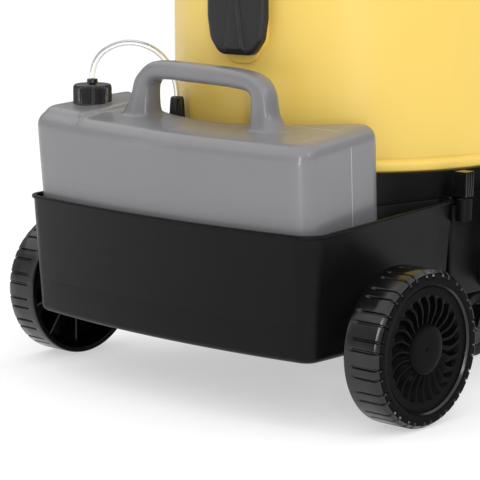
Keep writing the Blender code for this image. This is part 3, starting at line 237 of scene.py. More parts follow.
def quarter(radius, steps):
    """(inset, rise) round a bottom edge, from the flat underside to the upright wall."""
    turns = [math.pi / 2.0 * k / steps for k in range(steps + 1)]
    return [(radius * (1.0 - math.sin(turn)), radius * (1.0 - math.cos(turn))) for turn in turns]


def piece(name, bm, look, body, angle=32.0, replaced=()):
    """Close a bmesh into a shown piece that rides on a body."""
    bmesh.ops.recalc_face_normals(bm, faces=bm.faces)
    mesh = bpy.data.meshes.new(name)
    bm.to_mesh(mesh)
    bm.free()
    mesh.shade_smooth()
    mesh.set_sharp_from_angle(angle=math.radians(angle))
    mesh.materials.append(look)
    obj = bpy.data.objects.new(name, mesh)
    bpy.context.collection.objects.link(obj)
    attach(obj, body)
    if replaced:
        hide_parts(*replaced)
    return obj


def cutter(name, bm):
    """Close a bmesh into a hidden object for one Boolean."""
    bmesh.ops.recalc_face_normals(bm, faces=bm.faces)
    mesh = bpy.data.meshes.new(name)
    bm.to_mesh(mesh)
    bm.free()
    obj = bpy.data.objects.new(name, mesh)
    bpy.context.collection.objects.link(obj)
    obj.hide_render = True
    obj.hide_viewport = True
    return obj


def bake_booleans(obj, tools, operation="DIFFERENCE"):
    """Apply Booleans at once and drop the tools, so that only plain meshes stay."""
    for tool in tools:
        tool.hide_viewport = False
        modifier = obj.modifiers.new("boolean", "BOOLEAN")
        modifier.operation = operation
        modifier.solver = "EXACT"
        modifier.object = tool
    bpy.context.view_layer.update()
    graph = bpy.context.evaluated_depsgraph_get()
    made = bpy.data.meshes.new_from_object(obj.evaluated_get(graph))
    obj.modifiers.clear()
    looks = list(obj.data.materials)
    obj.data = made
    if not made.materials:
        for look in looks:
            made.materials.append(look)
    made.shade_smooth()
    made.set_sharp_from_angle(angle=math.radians(32.0))
    for tool in tools:
        bpy.data.objects.remove(tool, do_unlink=True)


def spin(bm, profile, sides, closed, place=None):
    """Turn (radius, height) points about Z inside bm; a point on the axis stays one point."""
    rings = []
    for r, h in profile:
        spots = 1 if abs(r) < 1e-7 else sides
        rings.append([bm.verts.new(polar(r, 2.0 * math.pi * k / sides, h)) for k in range(spots)])
    for low, high in zip(rings, rings[1:] + rings[:1] if closed else rings[1:]):
        for k in range(sides):
            n = (k + 1) % sides
            loop = [low[k % len(low)], low[n % len(low)], high[n % len(high)], high[k % len(high)]]
            loop = list(dict.fromkeys(loop))
            if len(loop) > 2:
                bm.faces.new(loop)
    if place is not None:
        bmesh.ops.transform(bm, matrix=place, verts=[vert for ring in rings for vert in ring])


def lathe(name, profile, look, body, sides=128, closed=False, place=None, replaced=()):
    bm = bmesh.new()
    spin(bm, profile, sides, closed, place)
    return piece(name, bm, look, body, 32.0, replaced)


def bridge(bm, rings, looped=False):
    """Join rings of equal length with faces, and the last to the first if looped."""
    for low, high in zip(rings, rings[1:] + rings[:1] if looped else rings[1:]):
        for k in range(len(low)):
            n = (k + 1) % len(low)
            bm.faces.new((low[k], low[n], high[n], high[k]))


def capped(bm, rings):
    """Join rings and close both ends."""
    bridge(bm, rings)
    bm.faces.new(list(reversed(rings[0])))
    bm.faces.new(rings[-1])


def skin(bm, rings):
    """Closed skin over rings of points."""
    capped(bm, [[bm.verts.new(point) for point in ring] for ring in rings])


def ribbed(bm, levels, ribs, wave, depth, place, looped=False):
    """Turned form with upright ribs, over (radius, height, share of the depth, drop of the rim) levels."""
    count = ribs * len(wave)
    rings = []
    for level in levels:
        radius, z, share, drop = (*level, 0.0)[:4]
        ring = []
        for k in range(count):
            step = wave[k % len(wave)]
            spot = polar(radius - depth * share * step, 2.0 * math.pi * k / count, z - drop * step)
            ring.append(bm.verts.new(place @ spot))
        rings.append(ring)
    if looped:
        bridge(bm, rings, True)
    else:
        capped(bm, rings)


def bail_rings(stations, per_span, y, sides, power):
    """Squarish sections along a bail of (x, height, tilt in degrees, thickness, depth) stations."""
    rings = []
    for x, z, tilt, thickness, depth in smooth_route(stations, per_span):
        angle = math.radians(tilt)
        normal = Vector((-math.sin(angle), 0.0, math.cos(angle)))
        ring = []
        for k in range(sides):
            turn = 2.0 * math.pi * k / sides
            swell = 0.5 / (abs(math.cos(turn)) ** power + abs(math.sin(turn)) ** power) ** (1.0 / power)
            point = Vector((x, y, z)) + normal * (thickness * swell * math.cos(turn))
            point.y += depth * swell * math.sin(turn)
            ring.append(point)
        rings.append(ring)
    return rings


def box_into(bm, corner, opposite, bevel, place=None, segments=2):
    """Box between two opposite corners, its edges rounded by bevel, added to bm."""
    low, high = (Vector(map(pick, corner, opposite)) for pick in (min, max))
    made = bmesh.ops.create_cube(bm, size=1.0)
    scale = Matrix.Diagonal((*(high - low), 1.0))
    bmesh.ops.transform(bm, matrix=Matrix.Translation((low + high) / 2.0) @ scale, verts=made["verts"])
    verts = made["verts"]
    if bevel > 0.0:
        edges = list({edge for vert in verts for edge in vert.link_edges})
        done = bmesh.ops.bevel(bm, geom=edges, offset=bevel, segments=segments, affect="EDGES", profile=0.5)
        rounded = {vert for face in done["faces"] for vert in face.verts}
        verts = list(rounded | {vert for vert in verts if vert.is_valid})
    if place is not None:
        bmesh.ops.transform(bm, matrix=place, verts=verts)


def box_cutter(name, low, high, bevel, place):
    bm = bmesh.new()
    box_into(bm, low, high, bevel, place)
    return cutter(name, bm)


def filleted(corners, steps=6):
    """Outline through (x, y, radius) corners, each rounded by its radius."""
    points = []
    count = len(corners)
    for i, (x, y, radius) in enumerate(corners):
        here = Vector((x, y))
        if radius <= 0.0:
            points.append((x, y))
            continue
        before = (Vector(corners[i - 1][:2]) - here).normalized()
        after = (Vector(corners[(i + 1) % count][:2]) - here).normalized()
        half = before.angle(after) / 2.0
        reach = radius / math.tan(half)
        centre = here + (before + after).normalized() * (radius / math.sin(half))
        start = here + before * reach - centre
        turn = start.angle_signed(here + after * reach - centre)
        for k in range(steps + 1):
            points.append(tuple(centre + Matrix.Rotation(-turn * k / steps, 2) @ start))
    return points


def both_sides(corners, steps):
    """Rounded outline from the corners of its left half, from the top down."""
    return filleted(corners + [(-x, y, radius) for x, y, radius in reversed(corners)], steps)


def smooth_route(points, per_span):
    """Catmull-Rom points through route points of any size."""
    points = [Vector(p) for p in points]
    padded = [points[0] * 2.0 - points[1]] + points + [points[-1] * 2.0 - points[-2]]
    made = []
    for a, b, c, d in zip(padded, padded[1:], padded[2:], padded[3:]):
        for k in range(per_span):
            t = k / per_span
            made.append(0.5 * ((b * 2.0) + (c - a) * t + (a * 2.0 - b * 5.0 + c * 4.0 - d) * t ** 2
                               + (b * 3.0 - a - c * 3.0 + d) * t ** 3))
    made.append(points[-1])
    return made


# ---------------------------------------------------------------- camera first, then the light
CAMERA_AT = (-1.8021, AXLE_Y + 1.9006, 0.6453)
CAMERA_TOWARDS = (0.6741, -0.7183, -0.1723)
SKY_SIDE = (0.60, 0.75, 0.28)
SKY_DIM, SKY_BRIGHT = 0.12, 0.46
FLOOR_HALF = 300.0           # wide enough to fill low views to the horizon
FLOOR_Z = -0.0006


def make_camera():
    camera = bpy.data.cameras.new("camera")
    camera.lens = 157.486
    camera.sensor_width = 36.0
    camera.clip_end = 20.0
    obj = bpy.data.objects.new("camera", camera)
    bpy.context.collection.objects.link(obj)
    obj.location = CAMERA_AT
    obj.rotation_euler = Vector(CAMERA_TOWARDS).to_track_quat("-Z", "Y").to_euler()
    bpy.context.scene.camera = obj


def area_light(name, at, target, size, power, colour=(1, 1, 1)):
    light = bpy.data.lights.new(name, "AREA")
    light.shape = "RECTANGLE"
    light.size, light.size_y = size
    light.energy = power
    light.color = colour
    obj = bpy.data.objects.new(name, light)
    bpy.context.collection.objects.link(obj)
    obj.location = at
    obj.rotation_euler = (Vector(target) - Vector(at)).to_track_quat("-Z", "Y").to_euler()


def make_studio():
    world = bpy.data.worlds.new("studio")
    world.use_nodes = True
    background = world.node_tree.nodes["Background"]
    # the sky is brighter on the side that SKY_SIDE points to
    coords = world.node_tree.nodes.new("ShaderNodeTexCoord")
    facing = world.node_tree.nodes.new("ShaderNodeVectorMath")
    facing.operation = "DOT_PRODUCT"
    facing.inputs[1].default_value = SKY_SIDE
    world.node_tree.links.new(coords.outputs["Generated"], facing.inputs[0])
    fall = spread(world.node_tree, facing.outputs["Value"], SKY_DIM, SKY_BRIGHT, -0.9, 0.7)
    world.node_tree.links.new(fall, background.inputs["Strength"])
    background.inputs["Color"].default_value = (1.0, 1.0, 1.0, 1.0)
    bpy.context.scene.world = world
    bpy.context.scene.view_settings.view_transform = "Standard"
    sky = bpy.data.lights.new("overhead", "SUN")
    sky.energy = 2.1
    sky.angle = math.radians(120.0)
    overhead = bpy.data.objects.new("overhead", sky)
    bpy.context.collection.objects.link(overhead)
    area_light("key", (-2.30, 2.25, 1.05), (0, 0.1, 0.35), (0.24, 1.9), 24.0)
    area_light("side", (2.2, 2.3, 0.9), (0, 0.1, 0.3), (0.3, 1.7), 2.0)
    area_light("rim", (-2.4, 0.0, 1.9), (0, 0.0, 0.4), (0.4, 1.0), 7.0)
    floor = bmesh.new()
    bmesh.ops.create_grid(floor, x_segments=1, y_segments=1, size=FLOOR_HALF)
    mesh = bpy.data.meshes.new("studio_floor")
    floor.to_mesh(mesh)
    floor.free()
    obj = bpy.data.objects.new("studio_floor", mesh)
    bpy.context.collection.objects.link(obj)
    obj.location.z = FLOOR_Z
    made, tree, shader = shader_of("pale_floor")
    tree.links.new(ramp(tree, noise(tree, 1.5), [(0.3, (0.56, 0.56, 0.56)), (0.7, (0.58, 0.58, 0.58))]),
                   shader.inputs["Base Color"])
    shader.inputs["Emission Color"].default_value = (1.0, 1.0, 1.0, 1.0)
    shader.inputs["Emission Strength"].default_value = 0.50
    shader.inputs["Roughness"].default_value = 0.9
    shader.inputs["Specular IOR Level"].default_value = 0.1
    mesh.materials.append(made)


# ---------------------------------------------------------------- rear wheels
LUG_PAIRS = 18
LUG_GAP = 0.0130             # between the two grooves of a pair
GROOVE_HALF = 0.0005
GROOVE_FLANK = 0.0015
GROOVE_DEPTH = 0.0025
BLADES = 24
BLADE_DEPTH = 0.0046
FACE_RADIUS = 0.0760


def tyre_angles():
    period = 2.0 * math.pi / LUG_PAIRS
    half = LUG_GAP / 2.0 / WHEEL_RADIUS
    flank = GROOVE_FLANK / WHEEL_RADIUS
    groove = GROOVE_HALF / WHEEL_RADIUS
    marks = []
    for centre in (-half, half):
        marks += [(centre - groove - flank, 0.0), (centre - groove, 1.0), (centre, 1.0),
                  (centre + groove, 1.0),
                  (centre + groove + flank, 0.0)]
    for k in range(1, 4):
        marks.append((-half + 2.0 * half * k / 4.0, 0.0))
    gap = period - 2.0 * half
    for k in range(1, 6):
        marks.append((half + gap * k / 6.0, 0.0))
    marks.sort()
    return [(period * n + angle, deep) for n in range(LUG_PAIRS) for angle, deep in marks]


def tyre_rings():
    """(radius, height across the wheel, groove share) from the inner lip, round the tread, to the face."""
    r, w = WHEEL_RADIUS, WHEEL_WIDTH
    return [
        (r - 0.0070, 0.0008, 0), (r - 0.0064, 0.0, 0), (r - 0.0030, 0.0, 0), (r - 0.0012, 0.0006, 0),
        (r - 0.0002, 0.0020, 0), (r, 0.0040, 0), (r, 0.0105, 0), (r, 0.0125, 0.45), (r, 0.0150, 1),
        (r, 0.0300, 1), (r, w - 0.0072, 1), (r - 0.0003, w - 0.0066, 1), (r - 0.0003, w - 0.0062, 1),
        (r - 0.0028, w - 0.0034, 1), (r - 0.0032, w - 0.0026, 1), (r - 0.0042, w - 0.0008, 1),
        (r - 0.0056, w, 1), (r - 0.0085, w, 0.9), (r - 0.0112, w, 0), (0.0795, w, 0), (0.0780, w - 0.0004, 0),
        (0.0772, w - 0.0016, 0), (FACE_RADIUS, w - 0.0032, 0), (FACE_RADIUS, w - 0.0090, 0),
        (r - 0.0075, w - 0.0130, 0), (r - 0.0075, 0.0020, 0),
    ]


def make_tyre(bm):
    angles = tyre_angles()
    rings = []
    for radius, height, share in tyre_rings():
        # on the tread a groove sinks inwards, on the face it sinks along the axle
        lean = clamp((height - (WHEEL_WIDTH - 0.0050)) / 0.0040)
        ring = []
        for angle, deep in angles:
            drop = GROOVE_DEPTH * deep * share
            ring.append(bm.verts.new(polar(radius - drop * (1.0 - lean), angle, height - drop * lean * 0.8)))
        rings.append(ring)
    bridge(bm, rings, True)


def make_wheel_face(bm, hand):
    """Turbine disc: a raised hub, overlapping curved blades and a fine raised circle outside them."""
    w = WHEEL_WIDTH
    phases = (0.0, 0.020, 0.16, 0.30, 0.44, 0.58, 0.70, 0.80, 0.90)
    heights = (0.0, -1.0, -0.96, -0.78, -0.56, -0.33, -0.12, 0.0, 0.0)
    plain = w - 0.0046
    rings = [(0.0012, w - 0.0042, 0), (0.0024, w - 0.0036, 0), (0.0030, w - 0.0028, 0),
             (0.012, w - 0.0026, 0),
             (0.022, w - 0.0029, 0), (0.0290, w - 0.0034, 0), (0.0304, w - 0.0040, 0),
             (0.0310, w - 0.0052, 0.2)]
    inner, outer = 0.0315, 0.0640
    for k in range(11):
        t = k / 10.0
        share = min(1.0, 4.0 * t + 0.45, (1.0 - t) * 9.0)
        rings.append((inner + (outer - inner) * t, plain + 0.0004 * math.sin(math.pi * t), max(share, 0.0)))
    rings += [(0.0655, plain, 0), (0.0710, plain, 0), (0.0728, plain + 0.0002, 0),
              (0.0733, plain + 0.0010, 0),
              (0.0741, plain + 0.0010, 0), (0.0746, plain + 0.0002, 0), (FACE_RADIUS + 0.0002, plain, 0)]
    made = []
    for radius, height, share in rings:
        t = clamp((radius - inner) / (outer - inner))
        bulge = math.radians(5.5) * t - math.radians(6.5) * math.sin(math.pi * t * 0.9)
        ring = []
        for blade in range(BLADES):
            for phase, level in zip(phases, heights):
                angle = hand * (2.0 * math.pi * (blade + phase) / BLADES + bulge)
                ring.append(bm.verts.new(polar(radius, angle, height + BLADE_DEPTH * level * share)))
        made.append(ring)
    for scale in (1.0, 0.30):
        rim = [vert.co for vert in made[-1]]
        made.append([bm.verts.new((co.x * scale, co.y * scale, w - 0.0155)) for co in rim])
    capped(bm, made)


def make_wheels():
    for side, sign in (("left", 1.0), ("right", -1.0)):
        low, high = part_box("rear_wheel_" + side)
        inner = low.x if sign > 0 else high.x
        place = Matrix.Translation((inner, AXLE_Y, AXLE_Z)) @ Matrix.Rotation(sign * math.pi / 2.0, 4, "Y")
        bm = bmesh.new()
        make_tyre(bm)
        bmesh.ops.transform(bm, matrix=place, verts=bm.verts)
        tyre = piece("wheel_tyre_" + side, bm, WHEEL_BLACK, "wheel_" + side, 28.0,
                     ("rear_wheel_" + side, "hub_cap_" + side))
        tyre.data.materials.append(FACE_BLACK)
        for polygon in tyre.data.polygons:
            polygon.material_index = int(abs(polygon.normal.x) > 0.75)
        bm = bmesh.new()
        make_wheel_face(bm, -sign)
        bmesh.ops.transform(bm, matrix=place, verts=bm.verts)
        piece("wheel_face_" + side, bm, FACE_BLACK, "wheel_" + side, 28.0)
        bm = bmesh.new()
        hub = [(0.0088, 0.004), (0.0150, 0.004), (0.0162, 0.006), (0.0185, WHEEL_WIDTH - 0.0150),
               (0.0088, WHEEL_WIDTH - 0.0150)]
        spin(bm, hub, 40, True, place)
        for k in range(10):
            turn = place @ Matrix.Rotation(math.radians(36.0 * k), 4, "Z")
            rib_end = (WHEEL_RADIUS - 0.0072, 0.0012, WHEEL_WIDTH - 0.0150)
            box_into(bm, (0.017, -0.0012, 0.020), rib_end, 0.0, turn)
        piece("wheel_ribs_" + side, bm, WHEEL_BLACK, "wheel_" + side)


# ---------------------------------------------------------------- detergent tank
def bowed(half, rear, share, spans):
    """Points between the corners of a rear face that bows out."""
    steps = [1.0 - 2.0 * i / spans for i in range(1, spans)]
    return [(half * share * step, rear - BASKET_BOW * (share * step) ** 2, 0.0) for step in steps]


def rear_corners(half, rear, radius, share, spans, front_half, front, front_radius):
    """Corners of a tub's outline, from one front corner round the bowed rear to the other."""
    return [(front_half, front, front_radius), (half, rear - BASKET_BOW, radius),
            *bowed(half, rear, share, spans),
            (-half, rear - BASKET_BOW, radius), (-front_half, front, front_radius)]


def drum_arc(radius, start, spans, steps):
    """Arc about the drum's axis, from an angle to its mirror image."""
    end = math.pi - start
    points = []
    for i in steps:
        angle = start + (end - start) * i / spans
        points.append((radius * math.cos(angle), DRUM_Y + radius * math.sin(angle), 0.0))
    return points


def tank_outline(inset):
    half = BASKET_HALF - BASKET_WALL - 0.009 - inset
    rear = AXLE_Y + BASKET_REACH - 0.012 - inset
    hollow = DRUM_RADIUS + LIP_OUT + 0.0225 + inset
    front = AXLE_Y - 0.050 + inset
    end_half = half - 0.016
    corners = rear_corners(half, rear, max(0.028 - inset, 0.008), 0.84, 24, end_half, front,
                           max(0.022 - inset, 0.006))
    reach = math.sqrt(hollow ** 2 - (front - DRUM_Y) ** 2)
    start = math.atan2(front - DRUM_Y, -min(reach, end_half * 0.93))
    corners += drum_arc(hollow, start, 40, range(1, 40))
    return [(x + TANK_SHIFT, y) for x, y in filleted(corners, 8)]


def sump_outline(inset):
    half = BASKET_HALF - BASKET_WALL - 0.0205 - inset
    rear = AXLE_Y + BASKET_REACH - 0.018 - inset
    front = AXLE_Y + BASKET_STEP + BASKET_WALL + BASKET_DRAFT + 0.003 + inset
    corners = rear_corners(half, rear, 0.022, 0.84, 16, half, front, 0.008)
    return [(x + TANK_SHIFT, y) for x, y in filleted(corners, 6)]


def tank_rings(outline, low, high, edge_low, edge_high, tilt, turns=8):
    """Sections up the tank; with tilt its walls lean out above the basket and its top slopes."""
    rings = [[(x, y, low + rise) for x, y in outline(inset)] for inset, rise in quarter(edge_low, turns)]
    levels = [(0.0, z) for z in (0.150, 0.235, 0.265, 0.295) if low + 0.03 < z < high - edge_high]
    levels.append((0.0, high - edge_high))
    levels += [(rise, high - inset) for inset, rise in quarter(edge_high, turns)[1:]]
    for draw, z in levels:
        below = clamp((z - 0.060) / 0.175)
        above = clamp((z - 0.235) / 0.086)
        ring = []
        for x, y in outline(draw):
            out = clamp((x - 0.10) / 0.09)
            into = clamp((-x - 0.10) / 0.09)
            lean = out * (0.0042 * below + 0.0088 * above) + into * 0.0036 * above
            lift = (CAP_SLOPE if x > 0 else FAR_SLOPE) * x + DRUM_SLOPE * (SEAM_Y - y)
            ring.append((x + tilt * lean, y, z + tilt * above * lift))
        rings.append(ring)
    return rings


def handle_rings():
    """Sections along the tank's own handle, whose feet widen into the tank's top."""
    grip = 0.4135 - 0.012
    top = TANK_TOP
    stations = [
        (-0.1215, top - 0.020, 90.0, 0.084, 0.066), (-0.1175, top - 0.006, 91.0, 0.060, 0.048),
        (-0.1130, top + 0.005, 92.0, 0.042, 0.038), (-0.1090, top + 0.020, 94.0, 0.032, 0.033),
        (-0.1070, top + 0.038, 84.0, 0.028, 0.032), (-0.1020, grip - 0.011, 55.0, 0.025, 0.032),
        (-0.088, grip - 0.004, 18.0, 0.024, 0.032), (-0.060, grip - 0.001, 5.0, 0.0240, 0.032),
        (-0.030, grip, 2.0, 0.024, 0.032), (0.010, grip + 0.001, 1.0, 0.024, 0.032),
        (0.050, grip + 0.0015, 0.0, 0.024, 0.032), (0.075, grip - 0.001, -14.0, 0.0245, 0.032),
        (0.0885, grip - 0.011, -52.0, 0.026, 0.032), (0.0935, top + 0.041, -80.0, 0.030, 0.032),
        (0.0965, top + 0.024, -86.0, 0.034, 0.034), (0.1010, top + 0.008, -90.0, 0.045, 0.040),
        (0.1045, top - 0.006, -90.0, 0.063, 0.050), (0.107, top - 0.020, -90.0, 0.088, 0.070),
    ]
    return bail_rings(stations, 5, SEAM_Y, 40, 2.9)


def merged_shape(name, forms, voxel, smoothing):
    """Weld closed forms into one skin with soft joins, and return its mesh."""
    obj = bpy.data.objects.new(name, bpy.data.meshes.new(name))
    bpy.context.collection.objects.link(obj)
    bm = bmesh.new()
    for form in forms:
        form(bm)
    bmesh.ops.recalc_face_normals(bm, faces=bm.faces)
    bm.to_mesh(obj.data)
    bm.free()
    remesh = obj.modifiers.new("remesh", "REMESH")
    remesh.mode = "VOXEL"
    remesh.voxel_size = voxel
    for factor, rounds in smoothing:
        smooth = obj.modifiers.new("smooth", "SMOOTH")
        smooth.factor = factor
        smooth.iterations = rounds
    bpy.context.view_layer.update()
    mesh = bpy.data.meshes.new_from_object(obj.evaluated_get(bpy.context.evaluated_depsgraph_get()))
    bpy.data.objects.remove(obj, do_unlink=True)
    return mesh


def cut_paths(mesh, plane_y):
    """Runs of (point, normal) where a mesh crosses the plane y = plane_y."""
    bm = bmesh.new()
    bm.from_mesh(mesh)
    cut = bmesh.ops.bisect_plane(bm, geom=bm.verts[:] + bm.edges[:] + bm.faces[:], plane_co=(0, plane_y, 0),
                                 plane_no=(0, 1, 0))
    bm.verts.index_update()
    near = {}
    for edge in (item for item in cut["geom_cut"] if isinstance(item, bmesh.types.BMEdge)):
        a, b = edge.verts
        near.setdefault(a.index, []).append(b.index)
        near.setdefault(b.index, []).append(a.index)
    bm.verts.ensure_lookup_table()
    spots = {index: (bm.verts[index].co.copy(), bm.verts[index].normal.copy()) for index in near}
    bm.free()
    paths, seen = [], set()
    for start in sorted(near):
        if start in seen:
            continue
        path, following = [], [start]
        while following:
            path.append(following[0])
            seen.add(path[-1])
            following = [index for index in near[path[-1]] if index not in seen]
        paths.append([spots[index] for index in path])
    return paths


def seam_line(mesh, plane_y, radius, keep):
    """Thin bead along the cut of a mesh by the plane y = plane_y, where keep(point) is true."""
    side = Vector((0, 1, 0))
    turns = [math.radians(turn) for turn in (18.0, 60.0, 120.0, 162.0, 230.0, 310.0)]
    bead = bmesh.new()
    for path in cut_paths(mesh, plane_y):
        count = len(path)
        if count < 12:
            continue
        points, outs = [point for point, _ in path], [normal for _, normal in path]
        for _ in range(6):
            points = [(points[i - 1] + points[i] * 2.0 + points[(i + 1) % count]) / 4.0 for i in range(count)]
            outs = [(outs[i - 1] + outs[i] * 2.0 + outs[(i + 1) % count]).normalized() for i in range(count)]
        runs = [[]]
        for i in range(count + 1):
            point, out = points[i % count], outs[i % count]
            if not keep(point):
                runs.append([])
                continue
            out = (out - side * out.dot(side)).normalized()
            runs[-1].append([point - out * 0.0004 + (out * math.sin(a) + side * math.cos(a) * 1.3) * radius
                             for a in turns])
        for run in runs:
            if len(run) > 3:
                skin(bead, run)
    return bead


def make_tank():
    floor = BASE_LOW.z + BASKET_WALL + 0.006
    sump_floor = BASKET_LOW.z + BASKET_WALL + 0.0003

    def shell(bm):
        skin(bm, tank_rings(tank_outline, floor, TANK_TOP, 0.014, 0.018, 1.0))

    def sump(bm):
        skin(bm, tank_rings(sump_outline, sump_floor, floor + 0.040, 0.010, 0.008, 0.0))

    def handle(bm):
        skin(bm, handle_rings())

    def mound(bm):
        shoulder = TANK_TOP + CAP_SLOPE * CAP_X
        profile = [(0, shoulder - 0.040), (0.050, shoulder - 0.040), (0.048, shoulder - 0.016),
                   (0.0405, shoulder - 0.0075), (0.033, shoulder - 0.0025), (0.0275, shoulder + 0.0008),
                   (0.0235, shoulder + 0.0016), (0.0215, shoulder + 0.0020), (0.0215, 0.3695), (0, 0.3695)]
        spin(bm, profile, 64, False, Matrix.Translation((CAP_X, SEAM_Y, 0)))

    def platform(bm):
        rings = []
        for inset, z in ((0.0120, TANK_TOP - 0.040), (0.0095, TANK_TOP - 0.004), (0.0120, TANK_TOP + 0.0015),
                         (0.0165, TANK_TOP + 0.0045), (0.0220, TANK_TOP + 0.0055)):
            ring = []
            for x, y in tank_outline(inset):
                x = max(x, 0.142 + (inset - 0.0095) * 0.7)
                lean = 0.013 * clamp((x - 0.10) / 0.09)
                ring.append((x + lean, y, z + CAP_SLOPE * x + DRUM_SLOPE * (SEAM_Y - y)))
            rings.append(ring)
        skin(bm, rings)

    mesh = merged_shape("tank_body", (shell, sump, handle, mound, platform), 0.0023, ((0.5, 8),))
    mesh.shade_smooth()
    mesh.materials.clear()
    mesh.materials.append(GREY)
    obj = bpy.data.objects.new("tank_body", mesh)
    bpy.context.collection.objects.link(obj)
    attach(obj, "tank")
    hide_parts("detergent_tank")

    def seen(point):
        return point.z > 0.18 and point.x < 0.140

    bead = seam_line(mesh, SEAM_Y - SEAM_FORWARD, 0.0007, seen)
    # the bead takes the lighter grey, a painted highlight along the seam
    piece("tank_seam", bead, SEAM_PAINTED_HIGHLIGHT, "tank", 50.0)


def make_cap():
    low, high = CAP_LOW.z, CAP_HIGH.z
    place = Matrix.Translation((CAP_X, SEAM_Y, 0))
    outer = (CAP_HIGH.x - CAP_LOW.x) / 2.0 - 0.0002
    levels = [(0.0231, low + 0.0008, 0), (0.0231, low, 0), (outer - 0.0004, low, 0), (outer, low + 0.0006, 0),
              (outer, low + 0.0022, 0), (outer, low + 0.0032, 1), (outer, high - 0.0050, 1),
              (outer - 0.0004, high - 0.0034, 0.6), (outer - 0.0012, high - 0.0014, 0.1),
              (outer - 0.0026, high - 0.0003, 0), (outer - 0.0040, high, 0), (0.0180, high - 0.0001, 0),
              (0.0172, high - 0.0007, 0), (0.0080, high - 0.0008, 0), (0.0050, high - 0.0008, 0),
              (0.0050, high - 0.0040, 0), (0.0231, high - 0.0040, 0)]
    bm = bmesh.new()
    ribbed(bm, levels, 50, (0.0, 0.35, 1.0, 1.0, 0.35, 0.0), 0.0015, place, True)
    piece("cap_ribbed", bm, CAP_BLACK, "cap", 30.0, ("tank_cap",))
    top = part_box("hose_collar")[1].z
    collar = [(0.0041, high - 0.0120), (0.0041, high + 0.0005), (0.0062, high + 0.0006),
              (0.0071, high + 0.0012),
              (0.0072, high + 0.0030), (0.0070, top - 0.0010), (0.0062, top), (0.0044, top),
              (0.0042, top - 0.0004),
              (0.0030, top - 0.0004), (0.0030, high - 0.0120)]
    lathe("cap_hose_collar", collar, CAP_BLACK, "tank", 48, True, place, ("hose_collar",))


HOSE_ROUTE = (
    (0.1950, 0.0520, 0.3820), (0.1942, 0.0520, 0.3920), (0.1900, 0.0500, 0.4055), (0.1790, 0.0470, 0.4180),
    (0.1610, 0.0420, 0.4275), (0.1430, 0.0360, 0.4310), (0.1270, 0.0270, 0.4290), (0.1150, 0.0160, 0.4215),
    (0.1080, 0.0060, 0.4100), (0.1040, -0.0020, 0.3960), (0.1024, -0.0075, 0.3800), (0.1020, -0.0098, 0.3680),
    (0.1020, -0.0100, 0.3620),
)


def tube_rings(points, radius, sides=20):
    rings = []
    up = Vector((0, 1, 0))
    for i, point in enumerate(points):
        along = (points[min(i + 1, len(points) - 1)] - points[max(i - 1, 0)]).normalized()
        side = along.cross(up).normalized()
        up = side.cross(along).normalized()
        turns = [2 * math.pi * k / sides for k in range(sides)]
        rings.append([point + (side * math.cos(turn) + up * math.sin(turn)) * radius for turn in turns])
    return rings


def make_hose():
    collar_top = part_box("hose_collar")[1].z
    route = [Vector((x, AXLE_Y + back, z)) for x, back, z in HOSE_ROUTE]
    route[0] = Vector((CAP_X, SEAM_Y, collar_top - 0.0002))
    points = smooth_route(route, 8)
    bm = bmesh.new()
    outer = [[bm.verts.new(p) for p in ring] for ring in tube_rings(points, HOSE_RADIUS)]
    inner = [[bm.verts.new(p) for p in ring] for ring in tube_rings(points, HOSE_BORE)]
    bridge(bm, outer + inner[::-1], True)
    hose = piece("hose_tube", bm, CLEAR, "tank", 40.0, ("clear_hose",))
    low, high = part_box("hose_connector")
    place = Matrix.Translation(((low.x + high.x) / 2.0, (low.y + high.y) / 2.0, 0))
    crest = [0.5 - 0.5 * math.cos(2 * math.pi * k / 6) for k in range(6)]
    top, foot = high.z, low.z
    levels = [(0.0036, foot + 0.020, 0), (0.0040, foot, 0), (0.0098, foot, 0), (0.0106, foot + 0.0008, 0),
              (0.0108, foot + 0.0030, 0), (0.0109, foot + 0.0045, 0.8), (0.0106, foot + 0.0180, 1),
              (0.0098, top - 0.0120, 1), (0.0092, top - 0.0050, 1, 0.0006),
              (0.0087, top - 0.0022, 0.8, 0.0012),
              (0.0078, top - 0.0008, 0.4, 0.0012), (0.0066, top - 0.0001, 0.1, 0.0003), (0.0050, top, 0),
              (0.0046, top - 0.0012, 0), (0.0044, top - 0.0030, 0)]
    bm = bmesh.new()
    ribbed(bm, levels, 12, crest, 0.0011, place)
    piece("hose_connector_ribbed", bm, CAP_BLACK, "tank", 30.0, ("hose_connector",))


# ---------------------------------------------------------------- basket and base
COLLAR = BASE_RADIUS + BASKET_BEAD + 0.001


def basket_corners(inset, front, front_radius):
    half = BASKET_HALF - inset
    rear = AXLE_Y + BASKET_REACH - inset
    corner = max(BASKET_CORNER - inset, 0.008)
    return rear_corners(half, rear, corner, BASKET_SHARE, 30, half, front, front_radius)


def basket_outline(inset):
    front = AXLE_Y - BASKET_FRONT + inset
    corners = basket_corners(inset, front, 0.0)
    radius = COLLAR + inset
    start = math.atan2(front - DRUM_Y, -math.sqrt(radius ** 2 - (front - DRUM_Y) ** 2))
    return filleted(corners + drum_arc(radius, start, 48, range(49)), 8)


def well_outline(inset):
    return filleted(basket_corners(inset, AXLE_Y + BASKET_STEP + inset, 0.006), 8)


def climb(y):
    return BASKET_RISE * clamp((AXLE_Y + BASKET_STEP - y) / (BASKET_STEP + BASKET_FRONT))


def basket_layer(outline, inset, z, share):
    draw = BASKET_DRAFT * (BASKET_TOP - z) / (BASKET_TOP - BASKET_LOW.z)
    return [Vector((x, y, z + share * climb(y))) for x, y in outline(inset + draw)]


def edge_layers(outline, edge, steps, inset, bottom):
    """Layers round a bottom edge."""
    return [basket_layer(outline, inset + draw, bottom + rise, 0.0) for draw, rise in quarter(edge, steps)]


